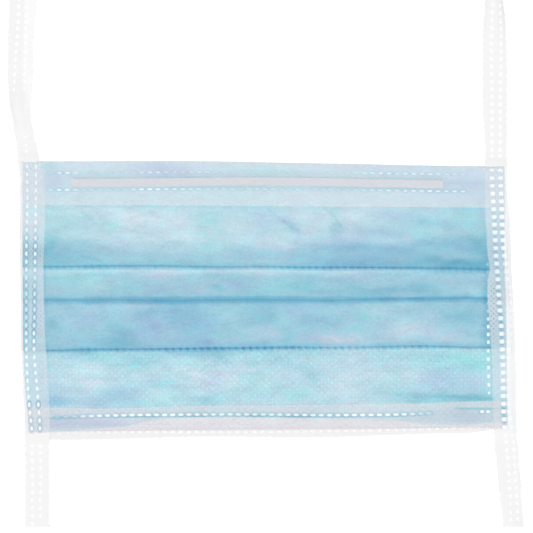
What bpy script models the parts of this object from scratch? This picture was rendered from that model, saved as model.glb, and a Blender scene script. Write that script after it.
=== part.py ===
"""Surgical face mask with ties, lying flat with its front up.

Metres, +Z up, and +Y towards the mask's top edge. The mask is made of sheets: a laminate with three pleats, a hem
turned over its top edge with a nose wire under it, a hem turned over its bottom edge, the lining's border showing
below that, and at each side one strip folded lengthwise, which binds the edge and runs on as the ties.

The sheets are worked out round the middle of the mask. At the end the whole mask is moved so that the origin is in
the middle of its footprint, on the surface that it lies on.
"""

import math
from collections import namedtuple

import bpy

# The mask's body
BODY_WIDTH = 0.175
BODY_HEIGHT = 0.0986
PLY = 0.001  # wall of the laminate
FOLD_GAP = 0.0002  # between the layers of a pleat
UPPER_PLEAT_DEPTH = 0.0100
MIDDLE_PLEAT_DEPTH = 0.0100
LOWER_PLEAT_DEPTH = 0.0166
RISE_RUN = 0.008  # length over which panel 1 climbs onto the upper pleat

# The hems, the lining's border and the nose wire
HEM_WALL = 0.001
TOP_HEM_DEPTH = 0.0158
BOTTOM_HEM_DEPTH = 0.0087
LINING_WALL = 0.001
LINING_DROP = 0.0030  # how far the border shows below the bottom edge, in the middle
LINING_TUCK = 0.0040  # how far it runs up behind the body
LINING_RISE = 0.008  # length over which the body climbs onto it
WIRE_LENGTH = 0.135
WIRE_WIDTH = 0.0032
WIRE_THICKNESS = 0.0009
WIRE_DROP = 0.0071  # from the top edge to the middle of the wire
WIRE_SHIFT = -0.0025  # of the wire's middle from the mask's
HUMP_RUN = 0.0025  # length over which the hem comes down beside the wire

# The straps
STRAP_WIDTH = 0.0098  # of the folded strip
STRAP_WALL = 0.001
UPPER_TIE_LENGTH = 0.0606
LOWER_TIE_LENGTH = 0.0344
FOLD_RADIUS = 0.0008  # at the strap's outer edge, to the middle of its wall
CLOSE_RUN = 0.006  # length of tie over which the strap closes past the body's edge
SETTLE_RUN = 0.002  # length over which the strap's front comes down past a step
SINK_RUN = 0.012  # length over which the body comes down from the straps to the surface

CLEARANCE = 0.0003  # between pieces that lie on each other

FOLD_STEPS = 4  # straight steps round a fold
FLAP_STEPS = 3  # across each side of a strap
SINK_STEPS = 4
MIDDLE_STEPS = 4  # columns between the sunk part's edge and the mask's middle

LAYER = PLY + FOLD_GAP  # height of one layer of a pleat
STRAP_SEAT = STRAP_WALL + CLEARANCE  # height of what lies on a strap's back
FLAP_MARGIN = STRAP_WALL / 2 + CLEARANCE
FLAP_REACH = 1.05 * STRAP_WIDTH  # from the mask's nominal side to where no strap reaches

# Lines across the mask, at its left side, middle and right side: shares of BODY_HEIGHT below its nominal top
Line = namedtuple("Line", "left middle right")
TOP_EDGE = Line(0.000, 0.004, 0.018)
BOTTOM_EDGE = Line(0.996, 0.987, 0.980)
Pleat = namedtuple("Pleat", "depth line")
PLEATS = (
    Pleat(UPPER_PLEAT_DEPTH, Line(0.392, 0.386, 0.400)),
    Pleat(MIDDLE_PLEAT_DEPTH, Line(0.509, 0.504, 0.508)),
    Pleat(LOWER_PLEAT_DEPTH, Line(0.697, 0.687, 0.684)),
)
# How far the lining's border shows, in shares of LINING_DROP
LINING_SHOWS = Line(1.20, 1.00, 0.30)

# The straps, from the top down. along is a share of the stretch's length: the upper tie's counted from the body
# upwards, the body's height, or the lower tie's counted downwards. out is how far the outer edge stands outside
# the mask's nominal side, wide is the width that shows and slack is the room left beside the body's edge, all in
# shares of STRAP_WIDTH. curl is half the angle that the tie is arched through, in degrees.
Row = namedtuple("Row", "stretch along out wide slack curl")
LEFT_STRAP = (
    Row("upper", 1.00, 0.56, 1.04, 0, 0),
    Row("upper", 0.76, 0.59, 0.98, 0, 0),
    Row("upper", 0.49, 0.59, 0.93, 0, 20),
    Row("upper", 0.345, 0.50, 0.74, 0, 65),
    Row("upper", 0.19, 0.37, 0.71, 0, 45),
    Row("upper", 0.10, 0.29, 0.73, 0, 15),
    Row("body", 0.00, 0.22, 0.82, 0.08, 0),
    Row("body", 0.06, 0.15, 0.87, 0, 0),
    Row("body", 0.20, 0.15, 0.93, 0, 0),
    Row("body", 0.51, 0.15, 0.92, 0, 0),
    Row("body", 0.68, 0.15, 0.97, 0, 0),
    Row("body", 0.83, 0.08, 0.99, 0, 0),
    Row("body", 1.00, -0.04, 0.94, 0, 0),
    Row("lower", 1.00, -0.04, 0.93, 0, 0),
)
RIGHT_STRAP = (
    Row("upper", 1.00, -0.07, 0.67, 0, 55),
    Row("upper", 0.85, 0.00, 0.78, 0, 45),
    Row("upper", 0.73, 0.04, 0.85, 0, 25),
    Row("upper", 0.61, 0.07, 0.91, 0, 0),
    Row("upper", 0.31, 0.07, 0.91, 0, 0),
    Row("upper", 0.19, 0.07, 0.85, 0, 12),
    Row("body", 0.00, 0.07, 0.82, 0, 0),
    Row("body", 0.16, 0.11, 0.85, 0, 0),
    Row("body", 0.29, 0.20, 0.88, 0.05, 0),
    Row("body", 0.39, 0.22, 0.82, 0.08, 0),
    Row("body", 0.475, 0.30, 0.96, 0.14, 0),
    Row("body", 0.57, 0.33, 0.94, 0.18, 0),
    Row("body", 0.68, 0.37, 0.91, 0.20, 0),
    Row("body", 0.77, 0.41, 0.89, 0.22, 0),
    Row("body", 1.00, 0.44, 0.89, 0.24, 0),
    Row("lower", 0.20, 0.52, 0.89, 0, 0),
    Row("lower", 0.55, 0.63, 0.88, 0, 0),
    Row("lower", 1.00, 0.70, 0.78, 0, 20),
)

Finish = namedtuple("Finish", "name colour roughness metallic")
OUTER_PLY = Finish("outer_ply", (0.40, 0.66, 0.76), 0.85, 0.0)
WHITE_PLY = Finish("white_ply", (0.90, 0.91, 0.93), 0.85, 0.0)
WIRE_FINISH = Finish("wire", (0.72, 0.73, 0.74), 0.5, 0.0)


def smooth(share):
    share = min(max(share, 0.0), 1.0)
    return share * share * (3 - 2 * share)


def between(points, at):
    """The value at a place on a line of (place, value) points, whose places go up or down."""
    points = sorted(points)
    if at <= points[0][0]:
        return points[0][1]
    for (start, low), (end, high) in zip(points, points[1:]):
        if at <= end:
            return low + (high - low) * (at - start) / (end - start)
    return points[-1][1]


# Places across and along the mask


def bowed(line, share):
    """A Line's value at a share of the width, on a curve through its three values."""
    side = 2 * share - 1
    slope = (line.right - line.left) / 2
    bend = (line.right + line.left) / 2 - line.middle
    return line.middle + slope * side + bend * side * side


def height_at(down):
    """y of a share of BODY_HEIGHT below the nominal top."""
    return BODY_HEIGHT * (0.5 - down)


def line_y(line, share):
    return height_at(bowed(line, share))


def fold_lines(share):
    return [line_y(pleat.line, share) for pleat in PLEATS]


def hidden_folds(share):
    return [line_y(pleat.line, share) + pleat.depth for pleat in PLEATS]


def lining_edge(share):
    return line_y(BOTTOM_EDGE, share) - LINING_DROP * bowed(LINING_SHOWS, share)


def row_y(row):
    if row.stretch == "upper":
        return height_at(0) + row.along * UPPER_TIE_LENGTH
    if row.stretch == "lower":
        return height_at(1) - row.along * LOWER_TIE_LENGTH
    return height_at(row.along)


def outer_edge(rows, y):
    """How far out of the mask's middle a strap's outer edge is."""
    return BODY_WIDTH / 2 + STRAP_WIDTH * between([(row_y(row), row.out) for row in rows], y)


def body_edge(rows, y):
    slack = STRAP_WIDTH * between([(row_y(row), row.slack) for row in rows], y)
    return outer_edge(rows, y) - STRAP_SEAT - slack


def across(share, y):
    """x of a share of the body's width at y, where the body's own edges are."""
    left, right = -body_edge(LEFT_STRAP, y), body_edge(RIGHT_STRAP, y)
    return left + (right - left) * share


# Heights


def side_lift(share):
    """How high the straps' backs hold the body at a share of its width."""
    inward = min(share, 1 - share) * BODY_WIDTH
    return STRAP_SEAT * smooth((FLAP_REACH + SINK_RUN - inward) / SINK_RUN)


def lining_lift(share, y):
    """How high the lining's border holds the body at y."""
    top = line_y(BOTTOM_EDGE, share) + LINING_TUCK
    return (LINING_WALL + CLEARANCE) * smooth((top + LINING_RISE - y) / LINING_RISE)


def panel_height(panel, share, y):
    """Height of the underside of panel 0, 1, 2 or 3, counted from the top. A panel comes out from under the pleat
    above it, climbs onto the hidden fold of the next pleat, and ends two layers over the panel after it."""
    if panel == len(PLEATS):
        return 0.0
    hidden = hidden_folds(share)
    start = hidden[panel] + RISE_RUN if panel == 0 else hidden[panel - 1]
    if y > hidden[panel]:
        return 2 * LAYER * max(0.0, (start - y) / (start - hidden[panel]))
    return 2 * LAYER + panel_height(panel + 1, share, y)


def stack_tops(share):
    """Places down the mask where the top of all that a strap covers changes, as (y, height above the strap's
    back). Each stands a margin past its corner, so that the strap's wall clears it."""
    top, bottom = line_y(TOP_EDGE, share), line_y(BOTTOM_EDGE, share)
    hem_low, hem_high = top - TOP_HEM_DEPTH, bottom + BOTTOM_HEM_DEPTH
    hem = CLEARANCE + HEM_WALL
    hidden, lines = hidden_folds(share), fold_lines(share)

    def on_panel(panel, y):
        return y, PLY + panel_height(panel, share, y)

    places = [
        (top + FLAP_MARGIN, PLY + hem),
        (hem_low - FLAP_MARGIN, PLY + hem),
        on_panel(0, hidden[0] + RISE_RUN),
        on_panel(0, hidden[0]),
    ]
    for number, line in enumerate(lines):
        places.append((line - FLAP_MARGIN, PLY + panel_height(number, share, line)))
        places.append(on_panel(number + 1, line - FLAP_MARGIN - SETTLE_RUN))
        following = hidden[number + 1 : number + 2]
        places += [on_panel(number + 1, y) for y in following if y < places[-1][0]]
    lining_top = bottom + LINING_TUCK
    places += [
        on_panel(3, lining_top + LINING_RISE),
        (hem_high + FLAP_MARGIN, PLY + hem + lining_lift(share, hem_high)),
        (lining_top, PLY + hem + lining_lift(share, lining_top)),
        (bottom - FLAP_MARGIN, PLY + hem + lining_lift(share, bottom)),
    ]
    edge = min(lining_edge(share), bottom - FLAP_MARGIN) - FLAP_MARGIN
    return [*places, (edge, LINING_WALL)]


# Outlines of the sheets, as (y, z) down the middle of each wall


def arc(y, z, radius, start, end, lean=None):
    """Points round a fold from one angle to another, in degrees from +Y towards +Z, with each lifted by lean."""
    points = []
    for step in range(FOLD_STEPS + 1):
        angle = math.radians(start + (end - start) * step / FOLD_STEPS)
        at = y + radius * math.cos(angle)
        points.append((at, z + radius * math.sin(angle) + (lean(at) if lean else 0.0)))
    return points


def body_path(share):
    """The laminate's section at a share of the width, from the top edge to the bottom edge."""
    inset = HEM_WALL + CLEARANCE
    top, bottom = line_y(TOP_EDGE, share) - inset, line_y(BOTTOM_EDGE, share) + inset
    hidden, lines = hidden_folds(share), fold_lines(share)
    turn = (LAYER + PLY) / 2
    path = [(top, PLY / 2), (hidden[0] + RISE_RUN, PLY / 2)]
    for number, (line, fold) in enumerate(zip(lines, hidden)):
        path.append((fold, PLY / 2 + 2 * LAYER))

        def lean(y, under=number + 1):
            return PLY / 2 + panel_height(under, share, y)

        path += arc(line + turn, 1.5 * LAYER, LAYER / 2, 90, 270, lean)
        path += arc(fold - turn, 0.5 * LAYER, LAYER / 2, 90, -90, lean)
    rise = bottom + LINING_TUCK + LINING_RISE
    path.append((lines[-1], PLY / 2))
    path += [(rise - LINING_RISE * step / SINK_STEPS, PLY / 2) for step in range(SINK_STEPS + 1)]
    path.append((bottom, PLY / 2))
    return [(y, z + lining_lift(share, y)) for y, z in path]


def wire_y(share):
    return line_y(TOP_EDGE, share) - WIRE_DROP


def hump(share):
    """Height that the hem gains over the wire, which ends inside the hem."""
    past = abs((share - 0.5) * BODY_WIDTH - WIRE_SHIFT) - WIRE_LENGTH / 2 - CLEARANCE
    return (WIRE_THICKNESS + CLEARANCE) * smooth(1 - past / HUMP_RUN)


def top_hem_path(share):
    """From the hem's lower edge, over the wire, and round the body's top edge down to its underside."""
    top, middle = line_y(TOP_EDGE, share), wire_y(share)
    flat = PLY + CLEARANCE + HEM_WALL / 2
    half = WIRE_WIDTH / 2 + HEM_WALL / 2 + CLEARANCE
    raised = flat + hump(share)
    turn = HEM_WALL / 2 + CLEARANCE
    return [
        (top - TOP_HEM_DEPTH, flat),
        (middle - half - HUMP_RUN, flat),
        (middle - half, raised),
        (middle + half, raised),
        (min(middle + half + HUMP_RUN, top - 2 * turn), flat),
        *arc(top - HEM_WALL / 2 - turn, flat - turn, turn, 90, 0),
        (top - HEM_WALL / 2, 0.0),
    ]


def bottom_hem_path(share):
    """From the hem's upper edge down, and round the body's bottom edge to the lining's border."""
    bottom = line_y(BOTTOM_EDGE, share)
    flat = PLY + CLEARANCE + HEM_WALL / 2
    turn = HEM_WALL / 2 + CLEARANCE
    lining_top = bottom + LINING_TUCK
    high = bottom + BOTTOM_HEM_DEPTH
    path = [(high + (lining_top - high) * step / SINK_STEPS, flat) for step in range(SINK_STEPS + 1)]
    path += arc(bottom + HEM_WALL / 2 + turn, flat - turn, turn, 90, 180)
    path.append((bottom + HEM_WALL / 2, 0.0))
    return [(y, z + lining_lift(share, y)) for y, z in path]


def lining_path(share):
    top = line_y(BOTTOM_EDGE, share) + LINING_TUCK
    low = lining_edge(share)
    return [(top, LINING_WALL / 2), (low, LINING_WALL / 2)]


def wire_path(share):
    z = PLY + CLEARANCE + WIRE_THICKNESS / 2
    return [(wire_y(share) + WIRE_WIDTH / 2, z), (wire_y(share) - WIRE_WIDTH / 2, z)]


# Making the objects


def start_scene():
    for old in list(bpy.data.objects):
        bpy.data.objects.remove(old)
    collection = bpy.data.collections.new("surgical_face_mask")
    bpy.context.scene.collection.children.link(collection)
    return collection


def material(finish):
    made = bpy.data.materials.get(finish.name)
    if made is None:
        made = bpy.data.materials.new(finish.name)
        made.use_nodes = True
        shader = made.node_tree.nodes["Principled BSDF"]
        shader.inputs["Base Color"].default_value = (*finish.colour, 1.0)
        shader.inputs["Roughness"].default_value = finish.roughness
        shader.inputs["Metallic"].default_value = finish.metallic
    return made


def walled_sheet(name, rows, wall, finish, collection):
    """A sheet through equal rows of points, given a wall by Solidify, half to each side."""
    width = len(rows[0])
    points = [point for row in rows for point in row]
    faces = [
        (first, first + 1, first + width + 1, first + width)
        for row in range(len(rows) - 1)
        for first in range(row * width, row * width + width - 1)
    ]
    mesh = bpy.data.meshes.new(name)
    mesh.from_pydata(points, [], faces)
    mesh.materials.append(material(finish))
    sheet = bpy.data.objects.new(name, mesh)
    collection.objects.link(sheet)
    shell = sheet.modifiers.new("wall", "SOLIDIFY")
    shell.thickness = wall
    shell.offset = 0.0
    shell.use_even_offset = True
    mesh.shade_smooth()
    mesh.set_sharp_from_angle(angle=math.radians(40))
    return sheet


def column_shares():
    """Shares of the width where the sheets have their columns: close where they sink beside the straps."""
    reach, sunk = FLAP_REACH / BODY_WIDTH, (FLAP_REACH + SINK_RUN) / BODY_WIDTH
    half = [0.0] + [reach + (sunk - reach) * step / SINK_STEPS for step in range(SINK_STEPS + 1)]
    half += [sunk + (0.5 - sunk) * step / MIDDLE_STEPS for step in range(1, MIDDLE_STEPS)]
    return half + [0.5] + [1 - share for share in reversed(half)]


def wire_shares():
    """The columns that the wire has, from end to end."""
    middle = 0.5 + WIRE_SHIFT / BODY_WIDTH
    ends = [middle - WIRE_LENGTH / 2 / BODY_WIDTH, middle + WIRE_LENGTH / 2 / BODY_WIDTH]
    inside = [share for share in column_shares() if ends[0] < share < ends[1]]
    return [ends[0], *inside, ends[1]]


def hem_shares():
    """The body's columns, with those where the hem comes down past the wire's ends."""
    first, *_, last = wire_shares()
    past = (CLEARANCE + HUMP_RUN) / BODY_WIDTH
    extra = [first - past, first - past / 2, first, last, last + past / 2, last + past]
    nearby = [share for share in column_shares() if min(abs(share - e) for e in extra) > past / 4]
    return sorted(nearby + extra)


def across_sheet(name, path, shares, wall, finish, collection):
    """A sheet whose section at each share of the width is path(share)."""
    rows = []
    for share in shares:
        lift = side_lift(share)
        rows.append([(across(share, y), y, z + lift) for y, z in path(share)])
    return walled_sheet(name, rows, wall, finish, collection)


def strap_section(outer, inner, front, curl):
    """The folded strip's section as (distance from the mask's middle, height): from the back's inner edge out to
    the fold and back along the front, arched through twice the curl."""
    back = STRAP_WALL / 2
    radius = min(FOLD_RADIUS, 0.45 * (front - back))
    fold = outer - STRAP_WALL / 2 - radius
    flap = [inner + (fold - inner) * step / FLAP_STEPS for step in range(FLAP_STEPS)]
    points = [(at, back) for at in flap]
    points += [(at, z) for at, z in arc(fold, back + radius, radius, -90, 0)]
    points += [(at, z) for at, z in arc(fold, front - radius, radius, 0, 90)]
    points += [(at, front) for at in reversed(flap)]
    if curl == 0:
        return points
    centre, chord = (outer + inner) / 2, outer - inner
    bend = math.radians(curl)
    hoop = chord / (2 * math.sin(bend))
    arched = []
    for at, z in points:
        angle = 2 * bend * (at - centre) / chord
        arched.append(
            (centre + (hoop + z) * math.sin(angle), (hoop + z) * math.cos(angle) - hoop * math.cos(bend))
        )
    return arched


def tie_strap(name, rows, side, collection):
    """A strap at the left, side -1, or the right, side 1: upper tie, binding and lower tie."""
    share = 0.5 + side * (0.5 - FLAP_REACH / 2 / BODY_WIDTH)
    closed = STRAP_SEAT + STRAP_WALL / 2
    tops = [(y, STRAP_SEAT + height + FLAP_MARGIN) for y, height in stack_tops(share)]
    fronts = [(tops[0][0] + CLOSE_RUN, closed), *tops, (tops[-1][0] - CLOSE_RUN, closed)]
    inside = [row for row in rows if tops[-1][0] < row_y(row) < tops[0][0]]
    beyond = [row for row in rows if not fronts[-1][0] < row_y(row) < fronts[0][0]]
    places = sorted({y for y, _ in fronts} | {row_y(row) for row in inside + beyond}, reverse=True)
    sections = []
    for y in places:
        outer = outer_edge(rows, y)
        inner = outer - STRAP_WIDTH * between([(row_y(row), row.wide) for row in rows], y)
        curl = between([(row_y(row), row.curl) for row in rows], y)
        if fronts[-1][0] < y < fronts[0][0]:
            curl = 0
        section = strap_section(outer, inner, between(fronts, y), curl)
        sections.append([(side * at, y, z) for at, z in section])
    return walled_sheet(name, sections, STRAP_WALL, WHITE_PLY, collection)


def stand_on_origin(pieces):
    """Moves the mask, by an empty that carries every piece, to where its footprint has the origin in its middle."""
    graph = bpy.context.evaluated_depsgraph_get()
    corners = []
    for piece in pieces:
        mesh = piece.evaluated_get(graph).data
        corners += [vertex.co for vertex in mesh.vertices]
    carrier = bpy.data.objects.new("mask", None)
    pieces[0].users_collection[0].objects.link(carrier)
    for axis in (0, 1):
        low = min(corner[axis] for corner in corners)
        high = max(corner[axis] for corner in corners)
        carrier.location[axis] = -(low + high) / 2
    for piece in pieces:
        piece.parent = carrier


def main():
    collection = start_scene()
    shares = column_shares()
    pieces = [
        across_sheet("pleated_body", body_path, shares, PLY, OUTER_PLY, collection),
        across_sheet("top_hem", top_hem_path, hem_shares(), HEM_WALL, WHITE_PLY, collection),
        across_sheet("nose_wire", wire_path, wire_shares(), WIRE_THICKNESS, WIRE_FINISH, collection),
        across_sheet("bottom_hem", bottom_hem_path, shares, HEM_WALL, WHITE_PLY, collection),
        across_sheet("lining_strip", lining_path, shares, LINING_WALL, WHITE_PLY, collection),
        tie_strap("left_tie_strap", LEFT_STRAP, -1, collection),
        tie_strap("right_tie_strap", RIGHT_STRAP, 1, collection),
    ]
    bpy.context.view_layer.update()
    stand_on_origin(pieces)


main()
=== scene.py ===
"""Looks of the surgical face mask, which lies with its front up and is seen from straight above.

Metres. Places on the mask are given in pixels of the photograph's 533 x 533 frame, x to the right and y down,
and on_mask() turns them into the CAD's frame. Heights and thicknesses are in metres.
"""

import math
from collections import namedtuple

import bpy
import numpy as np
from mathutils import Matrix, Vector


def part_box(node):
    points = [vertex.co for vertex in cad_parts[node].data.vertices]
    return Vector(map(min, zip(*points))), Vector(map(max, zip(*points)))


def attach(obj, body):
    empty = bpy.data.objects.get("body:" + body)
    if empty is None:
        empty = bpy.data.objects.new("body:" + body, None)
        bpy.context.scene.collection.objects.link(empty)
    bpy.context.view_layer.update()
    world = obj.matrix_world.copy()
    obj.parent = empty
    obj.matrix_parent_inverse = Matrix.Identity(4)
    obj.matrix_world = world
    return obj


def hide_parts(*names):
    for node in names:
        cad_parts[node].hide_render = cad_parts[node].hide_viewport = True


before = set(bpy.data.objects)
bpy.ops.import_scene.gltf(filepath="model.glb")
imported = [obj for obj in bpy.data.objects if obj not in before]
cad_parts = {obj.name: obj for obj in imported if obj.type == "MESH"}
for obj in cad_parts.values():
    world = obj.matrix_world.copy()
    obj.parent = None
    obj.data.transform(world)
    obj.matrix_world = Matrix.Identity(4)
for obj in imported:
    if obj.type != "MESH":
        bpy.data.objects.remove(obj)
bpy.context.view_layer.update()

# The photograph's frame on the mask, and the camera
PHOTO_SIDE = 533
BODY_WIDTH = 0.175
BODY_SPAN_PX = 481  # the body's width in the photograph
PIXEL = BODY_WIDTH / BODY_SPAN_PX
BODY_SKEW = 0.00023  # how far the middle of the body's box lies to the right of the mask's middle
MIDDLE_PX = 264.5
LEFT_PX = MIDDLE_PX - BODY_SPAN_PX / 2
TOP_PX = 161.5
CAMERA_DISTANCE = 1.5
SENSOR = 0.036

# Thicknesses of the real sheets, and how they lie on each other
LAMINATE = 0.00035
LAYER = 0.00050  # height of one layer of a pleat
HEM_PLY = 0.00012
STRIP_PLY = 0.00016
LIE = 0.00005  # between sheets that lie on each other
WIRE_HIGH = 0.00055
WIRE_WIDE_PX = 8.4
HUMP_PX = 5.0
RISE_PX = 22.0  # length over which panel 1 climbs onto the upper pleat
TURN_UNDER = 0.0012  # how far the bottom hem runs on behind the body
LINING_TUCK = 0.0078  # how far the lining's border runs up behind the body
LINING_RISE_PX = 22.0
HEM_RISE_PX = 5.0  # length over which the body climbs onto the turned-under hem
SIDE_SINK_PX = 30.0  # length over which the body comes down from the straps' backs
FLAP_PX = 28.0  # width of a strap's back under the body

# Light: what a white surface of albedo 1 would show, in linear light
EXPOSURE = 1.3
SKY_SHARE = 0.5

Pleat = namedtuple("Pleat", "depth line")
# The folds' edges across the mask, as (x, y) pixels, and the pleats' depths in pixels
TOP_EDGE = ((24, 161.5), (235, 161.7), (295, 163), (355, 164), (400, 165), (475, 166.3), (505, 166.6))
PLEATS = (
    Pleat(27.5, (
        (24, 266.6), (60, 266.6), (110, 266), (140, 265.9), (170, 266.2), (200, 266.7), (230, 266.9),
        (264, 266.5), (295, 267.1), (355, 267.2), (400, 267.9), (445, 268.6), (480, 269.4), (505, 270),
    )),
    Pleat(27.5, (
        (24, 299.8), (60, 299.8), (85, 299.9), (110, 299.4), (140, 299.6), (170, 300.3), (200, 299.7),
        (245, 299.2), (295, 299.5), (325, 299.9), (355, 299.2), (385, 298.6), (415, 298.4), (445, 298),
        (505, 298.1),
    )),
    Pleat(45.6, (
        (24, 350.6), (60, 350.2), (85, 349.5), (110, 349.1), (140, 348.9), (170, 348.6), (200, 348.2),
        (264, 347.7), (295, 347.1), (325, 347.5), (355, 347.2), (385, 346.4), (415, 346), (445, 346.3),
        (470, 347), (505, 347.2),
    )),
)
BOTTOM_EDGE = ((24, 431.4), (140, 430.2), (264, 429), (400, 428), (505, 427))
TOP_HEM_EDGE = ((24, 204.8), (140, 205.2), (264, 206), (400, 207), (505, 207.8))
BOTTOM_HEM_EDGE = (
    (24, 407), (50, 407.5), (90, 408.5), (190, 406), (265, 405.5), (330, 404.5), (430, 403), (480, 401),
    (505, 400.5),
)
LINING_EDGE = (
    (24, 440), (85, 440), (125, 439), (185, 437.2), (345, 437), (385, 435.4), (425, 434), (485, 431),
    (497, 428.6), (505, 428),
)
# Where the blue ply ends under the bottom hem
BLUE_EDGE = (
    (24, 431), (65, 431), (85, 429), (105, 427), (125, 425.5), (145, 421), (165, 418.5), (305, 418),
    (345, 418.3), (375, 419.2), (401, 420.8), (425, 423), (446, 424.3), (465, 424), (485, 422.5),
    (505, 422),
)
WIRE_LINE = ((72, 182.9), (160, 182.3), (264, 181.4), (360, 182.8), (443, 184.5))
WIRE_ENDS = (72, 443)

# The straps' edges and how far each tie is arched, down the photograph
StrapRow = namedtuple("StrapRow", "y outer inner curl")
LEFT_STRAP = [
    StrapRow(*row) for row in (
        (-5, 9, 37, 0), (10, 9, 37, 0), (25, 8, 36, 0), (35, 8, 34.5, 5), (60, 8, 33.5, 15),
        (80, 8, 33, 25), (90, 9, 32, 40), (100, 10, 31, 55), (108, 11, 30, 65), (120, 13.5, 31, 55),
        (130, 14, 33, 40), (140, 16, 35, 20), (150, 17, 38, 5), (161, 18, 40, 0), (176, 20, 43.5, 0),
        (190, 20, 45, 0), (240, 20, 45, 0), (268, 20.4, 44.2, 0), (300, 20.9, 44.8, 0),
        (344, 21.3, 46, 0), (358, 21.8, 47, 0), (386, 23, 48.8, 0), (400, 23.7, 49.3, 0),
        (414, 24.5, 50, 0), (430, 25, 50.5, 0), (440, 25, 50, 0), (527, 25, 50, 0),
    )
]
RIGHT_STRAP = [
    StrapRow(*row) for row in (
        (-5, 502.5, 485.5, 50), (8, 503.5, 485, 45), (20, 505, 484, 38), (40, 506, 483, 22),
        (60, 507, 482.5, 8), (110, 507, 482.5, 4), (130, 507, 484, 10), (150, 507, 485, 6),
        (165, 507, 484.5, 0), (190, 507, 484.6, 0), (204, 508, 484.8, 0), (218, 510, 485, 0),
        (235, 510.5, 486, 0), (255, 511, 487, 0), (268, 511, 489, 0), (280, 512, 487.2, 0),
        (300, 513, 487, 0), (316, 514, 488.5, 0), (345, 515, 490.5, 0), (370, 516, 492, 0),
        (420, 516.5, 493, 0), (436, 517, 494, 0), (452, 519, 495, 0), (468, 520, 497, 0),
        (484, 521.5, 498, 0), (500, 522, 500, 5), (516, 523, 502, 14), (527, 524, 503, 20),
    )
]
# Where the blue ply's own edges are, under the straps
LEFT_BODY_EDGE = (
    (155, 22.3), (218, 22.6), (240, 22.9), (262, 22.9), (285, 23.1), (340, 23.3), (370, 24.2),
    (386, 25.3), (400, 26.4), (414, 27.6), (440, 29.4),
)
RIGHT_BODY_EDGE = (
    (155, 504.2), (218, 504.5), (245, 503.8), (268, 504.2), (285, 505), (300, 505.7), (344, 506.2),
    (400, 507), (440, 507.4),
)


# Small tools


def smooth(share):
    share = np.clip(share, 0.0, 1.0)
    return share * share * (3 - 2 * share)


def ramp(at, start, length):
    """0 before start and 1 past start + length; with a length below 0 it runs backwards."""
    return smooth((at - start) / length)


def bell(distance, reach):
    return np.exp(-((distance / reach) ** 2))


Shade = namedtuple("Shade", "strength offset reach")


def shade_at(shade, distance):
    """How strongly a soft line shows at this distance past the edge that it follows."""
    return shade.strength * bell(distance - shade.offset, shade.reach)


Patch = namedtuple("Patch", "x y wide high strength")


def patches(*rows):
    """Soft round patches, each from its middle, its reach across and down in pixels, and its strength."""
    return [Patch(*row) for row in rows]


def patched(rows, x, y):
    """What all the patches add at each place."""
    total = np.zeros(np.broadcast(x, y).shape)
    for row in rows:
        total += row.strength * np.exp(-(((x - row.x) / row.wide) ** 2) - ((y - row.y) / row.high) ** 2)
    return total


def along(points):
    """A smooth curve through (place, value) points, as a function of the place."""
    places, values = np.array(sorted(points), float).T
    slopes = np.gradient(values, places)

    def value(at):
        at = np.clip(np.asarray(at, float), places[0], places[-1])
        first = np.clip(np.searchsorted(places, at) - 1, 0, len(places) - 2)
        run = places[first + 1] - places[first]
        part = (at - places[first]) / run
        rise = part * part * (3 - 2 * part)
        start = part * (1 - part) ** 2 * run * slopes[first]
        end = part * part * (part - 1) * run * slopes[first + 1]
        return values[first] + (values[first + 1] - values[first]) * rise + start + end

    return value


NOISE_CELLS = 64
SEED_SHIFT = (0.37, 0.71)  # how many lumps the noise moves across and down for each seed


def lumps(x, y, wide, high, seed):
    """Seeded smooth noise from -1 to 1, with lumps of this width and height in pixels."""
    table = np.random.default_rng(seed).uniform(-1, 1, (NOISE_CELLS, NOISE_CELLS))
    across, down = x / wide + SEED_SHIFT[0] * seed, y / high + SEED_SHIFT[1] * seed
    column, row = np.floor(across).astype(int), np.floor(down).astype(int)
    to_right, to_low = smooth(across - column), smooth(down - row)

    def corner(right, low):
        return table[(row + low) % NOISE_CELLS, (column + right) % NOISE_CELLS]

    upper = corner(0, 0) + (corner(1, 0) - corner(0, 0)) * to_right
    lower = corner(0, 1) + (corner(1, 1) - corner(0, 1)) * to_right
    return upper + (lower - upper) * to_low


HALF_SIZE = 0.55  # how much a cloud's lumps of half and of quarter size count
QUARTER_SIZE = 0.35


def clouds(x, y, wide, high, seed):
    """Lumps of three sizes on each other."""
    half = lumps(x, y, wide / 2, high / 2, seed + 1)
    quarter = lumps(x, y, wide / 4, high / 4, seed + 2)
    return lumps(x, y, wide, high, seed) + HALF_SIZE * half + QUARTER_SIZE * quarter


def linear(red, green, blue):
    """Linear light of an sRGB colour given from 0 to 255."""
    colour = np.array((red, green, blue), float) / 255
    return np.where(colour <= 0.04045, colour / 12.92, ((colour + 0.055) / 1.055) ** 2.4)


def shown(red, green, blue):
    """Albedo that shows as this sRGB colour in the scene's light."""
    return linear(red, green, blue) / EXPOSURE


# Places

hem_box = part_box("top_hem")
body_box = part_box("pleated_body")
MASK_X = (body_box[0].x + body_box[1].x) / 2 - BODY_SKEW
MASK_TOP = hem_box[1].y


def on_mask(x, y):
    """World x and y of a place in the photograph."""
    return MASK_X + (x - MIDDLE_PX) * PIXEL, MASK_TOP - (y - TOP_PX) * PIXEL


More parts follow.
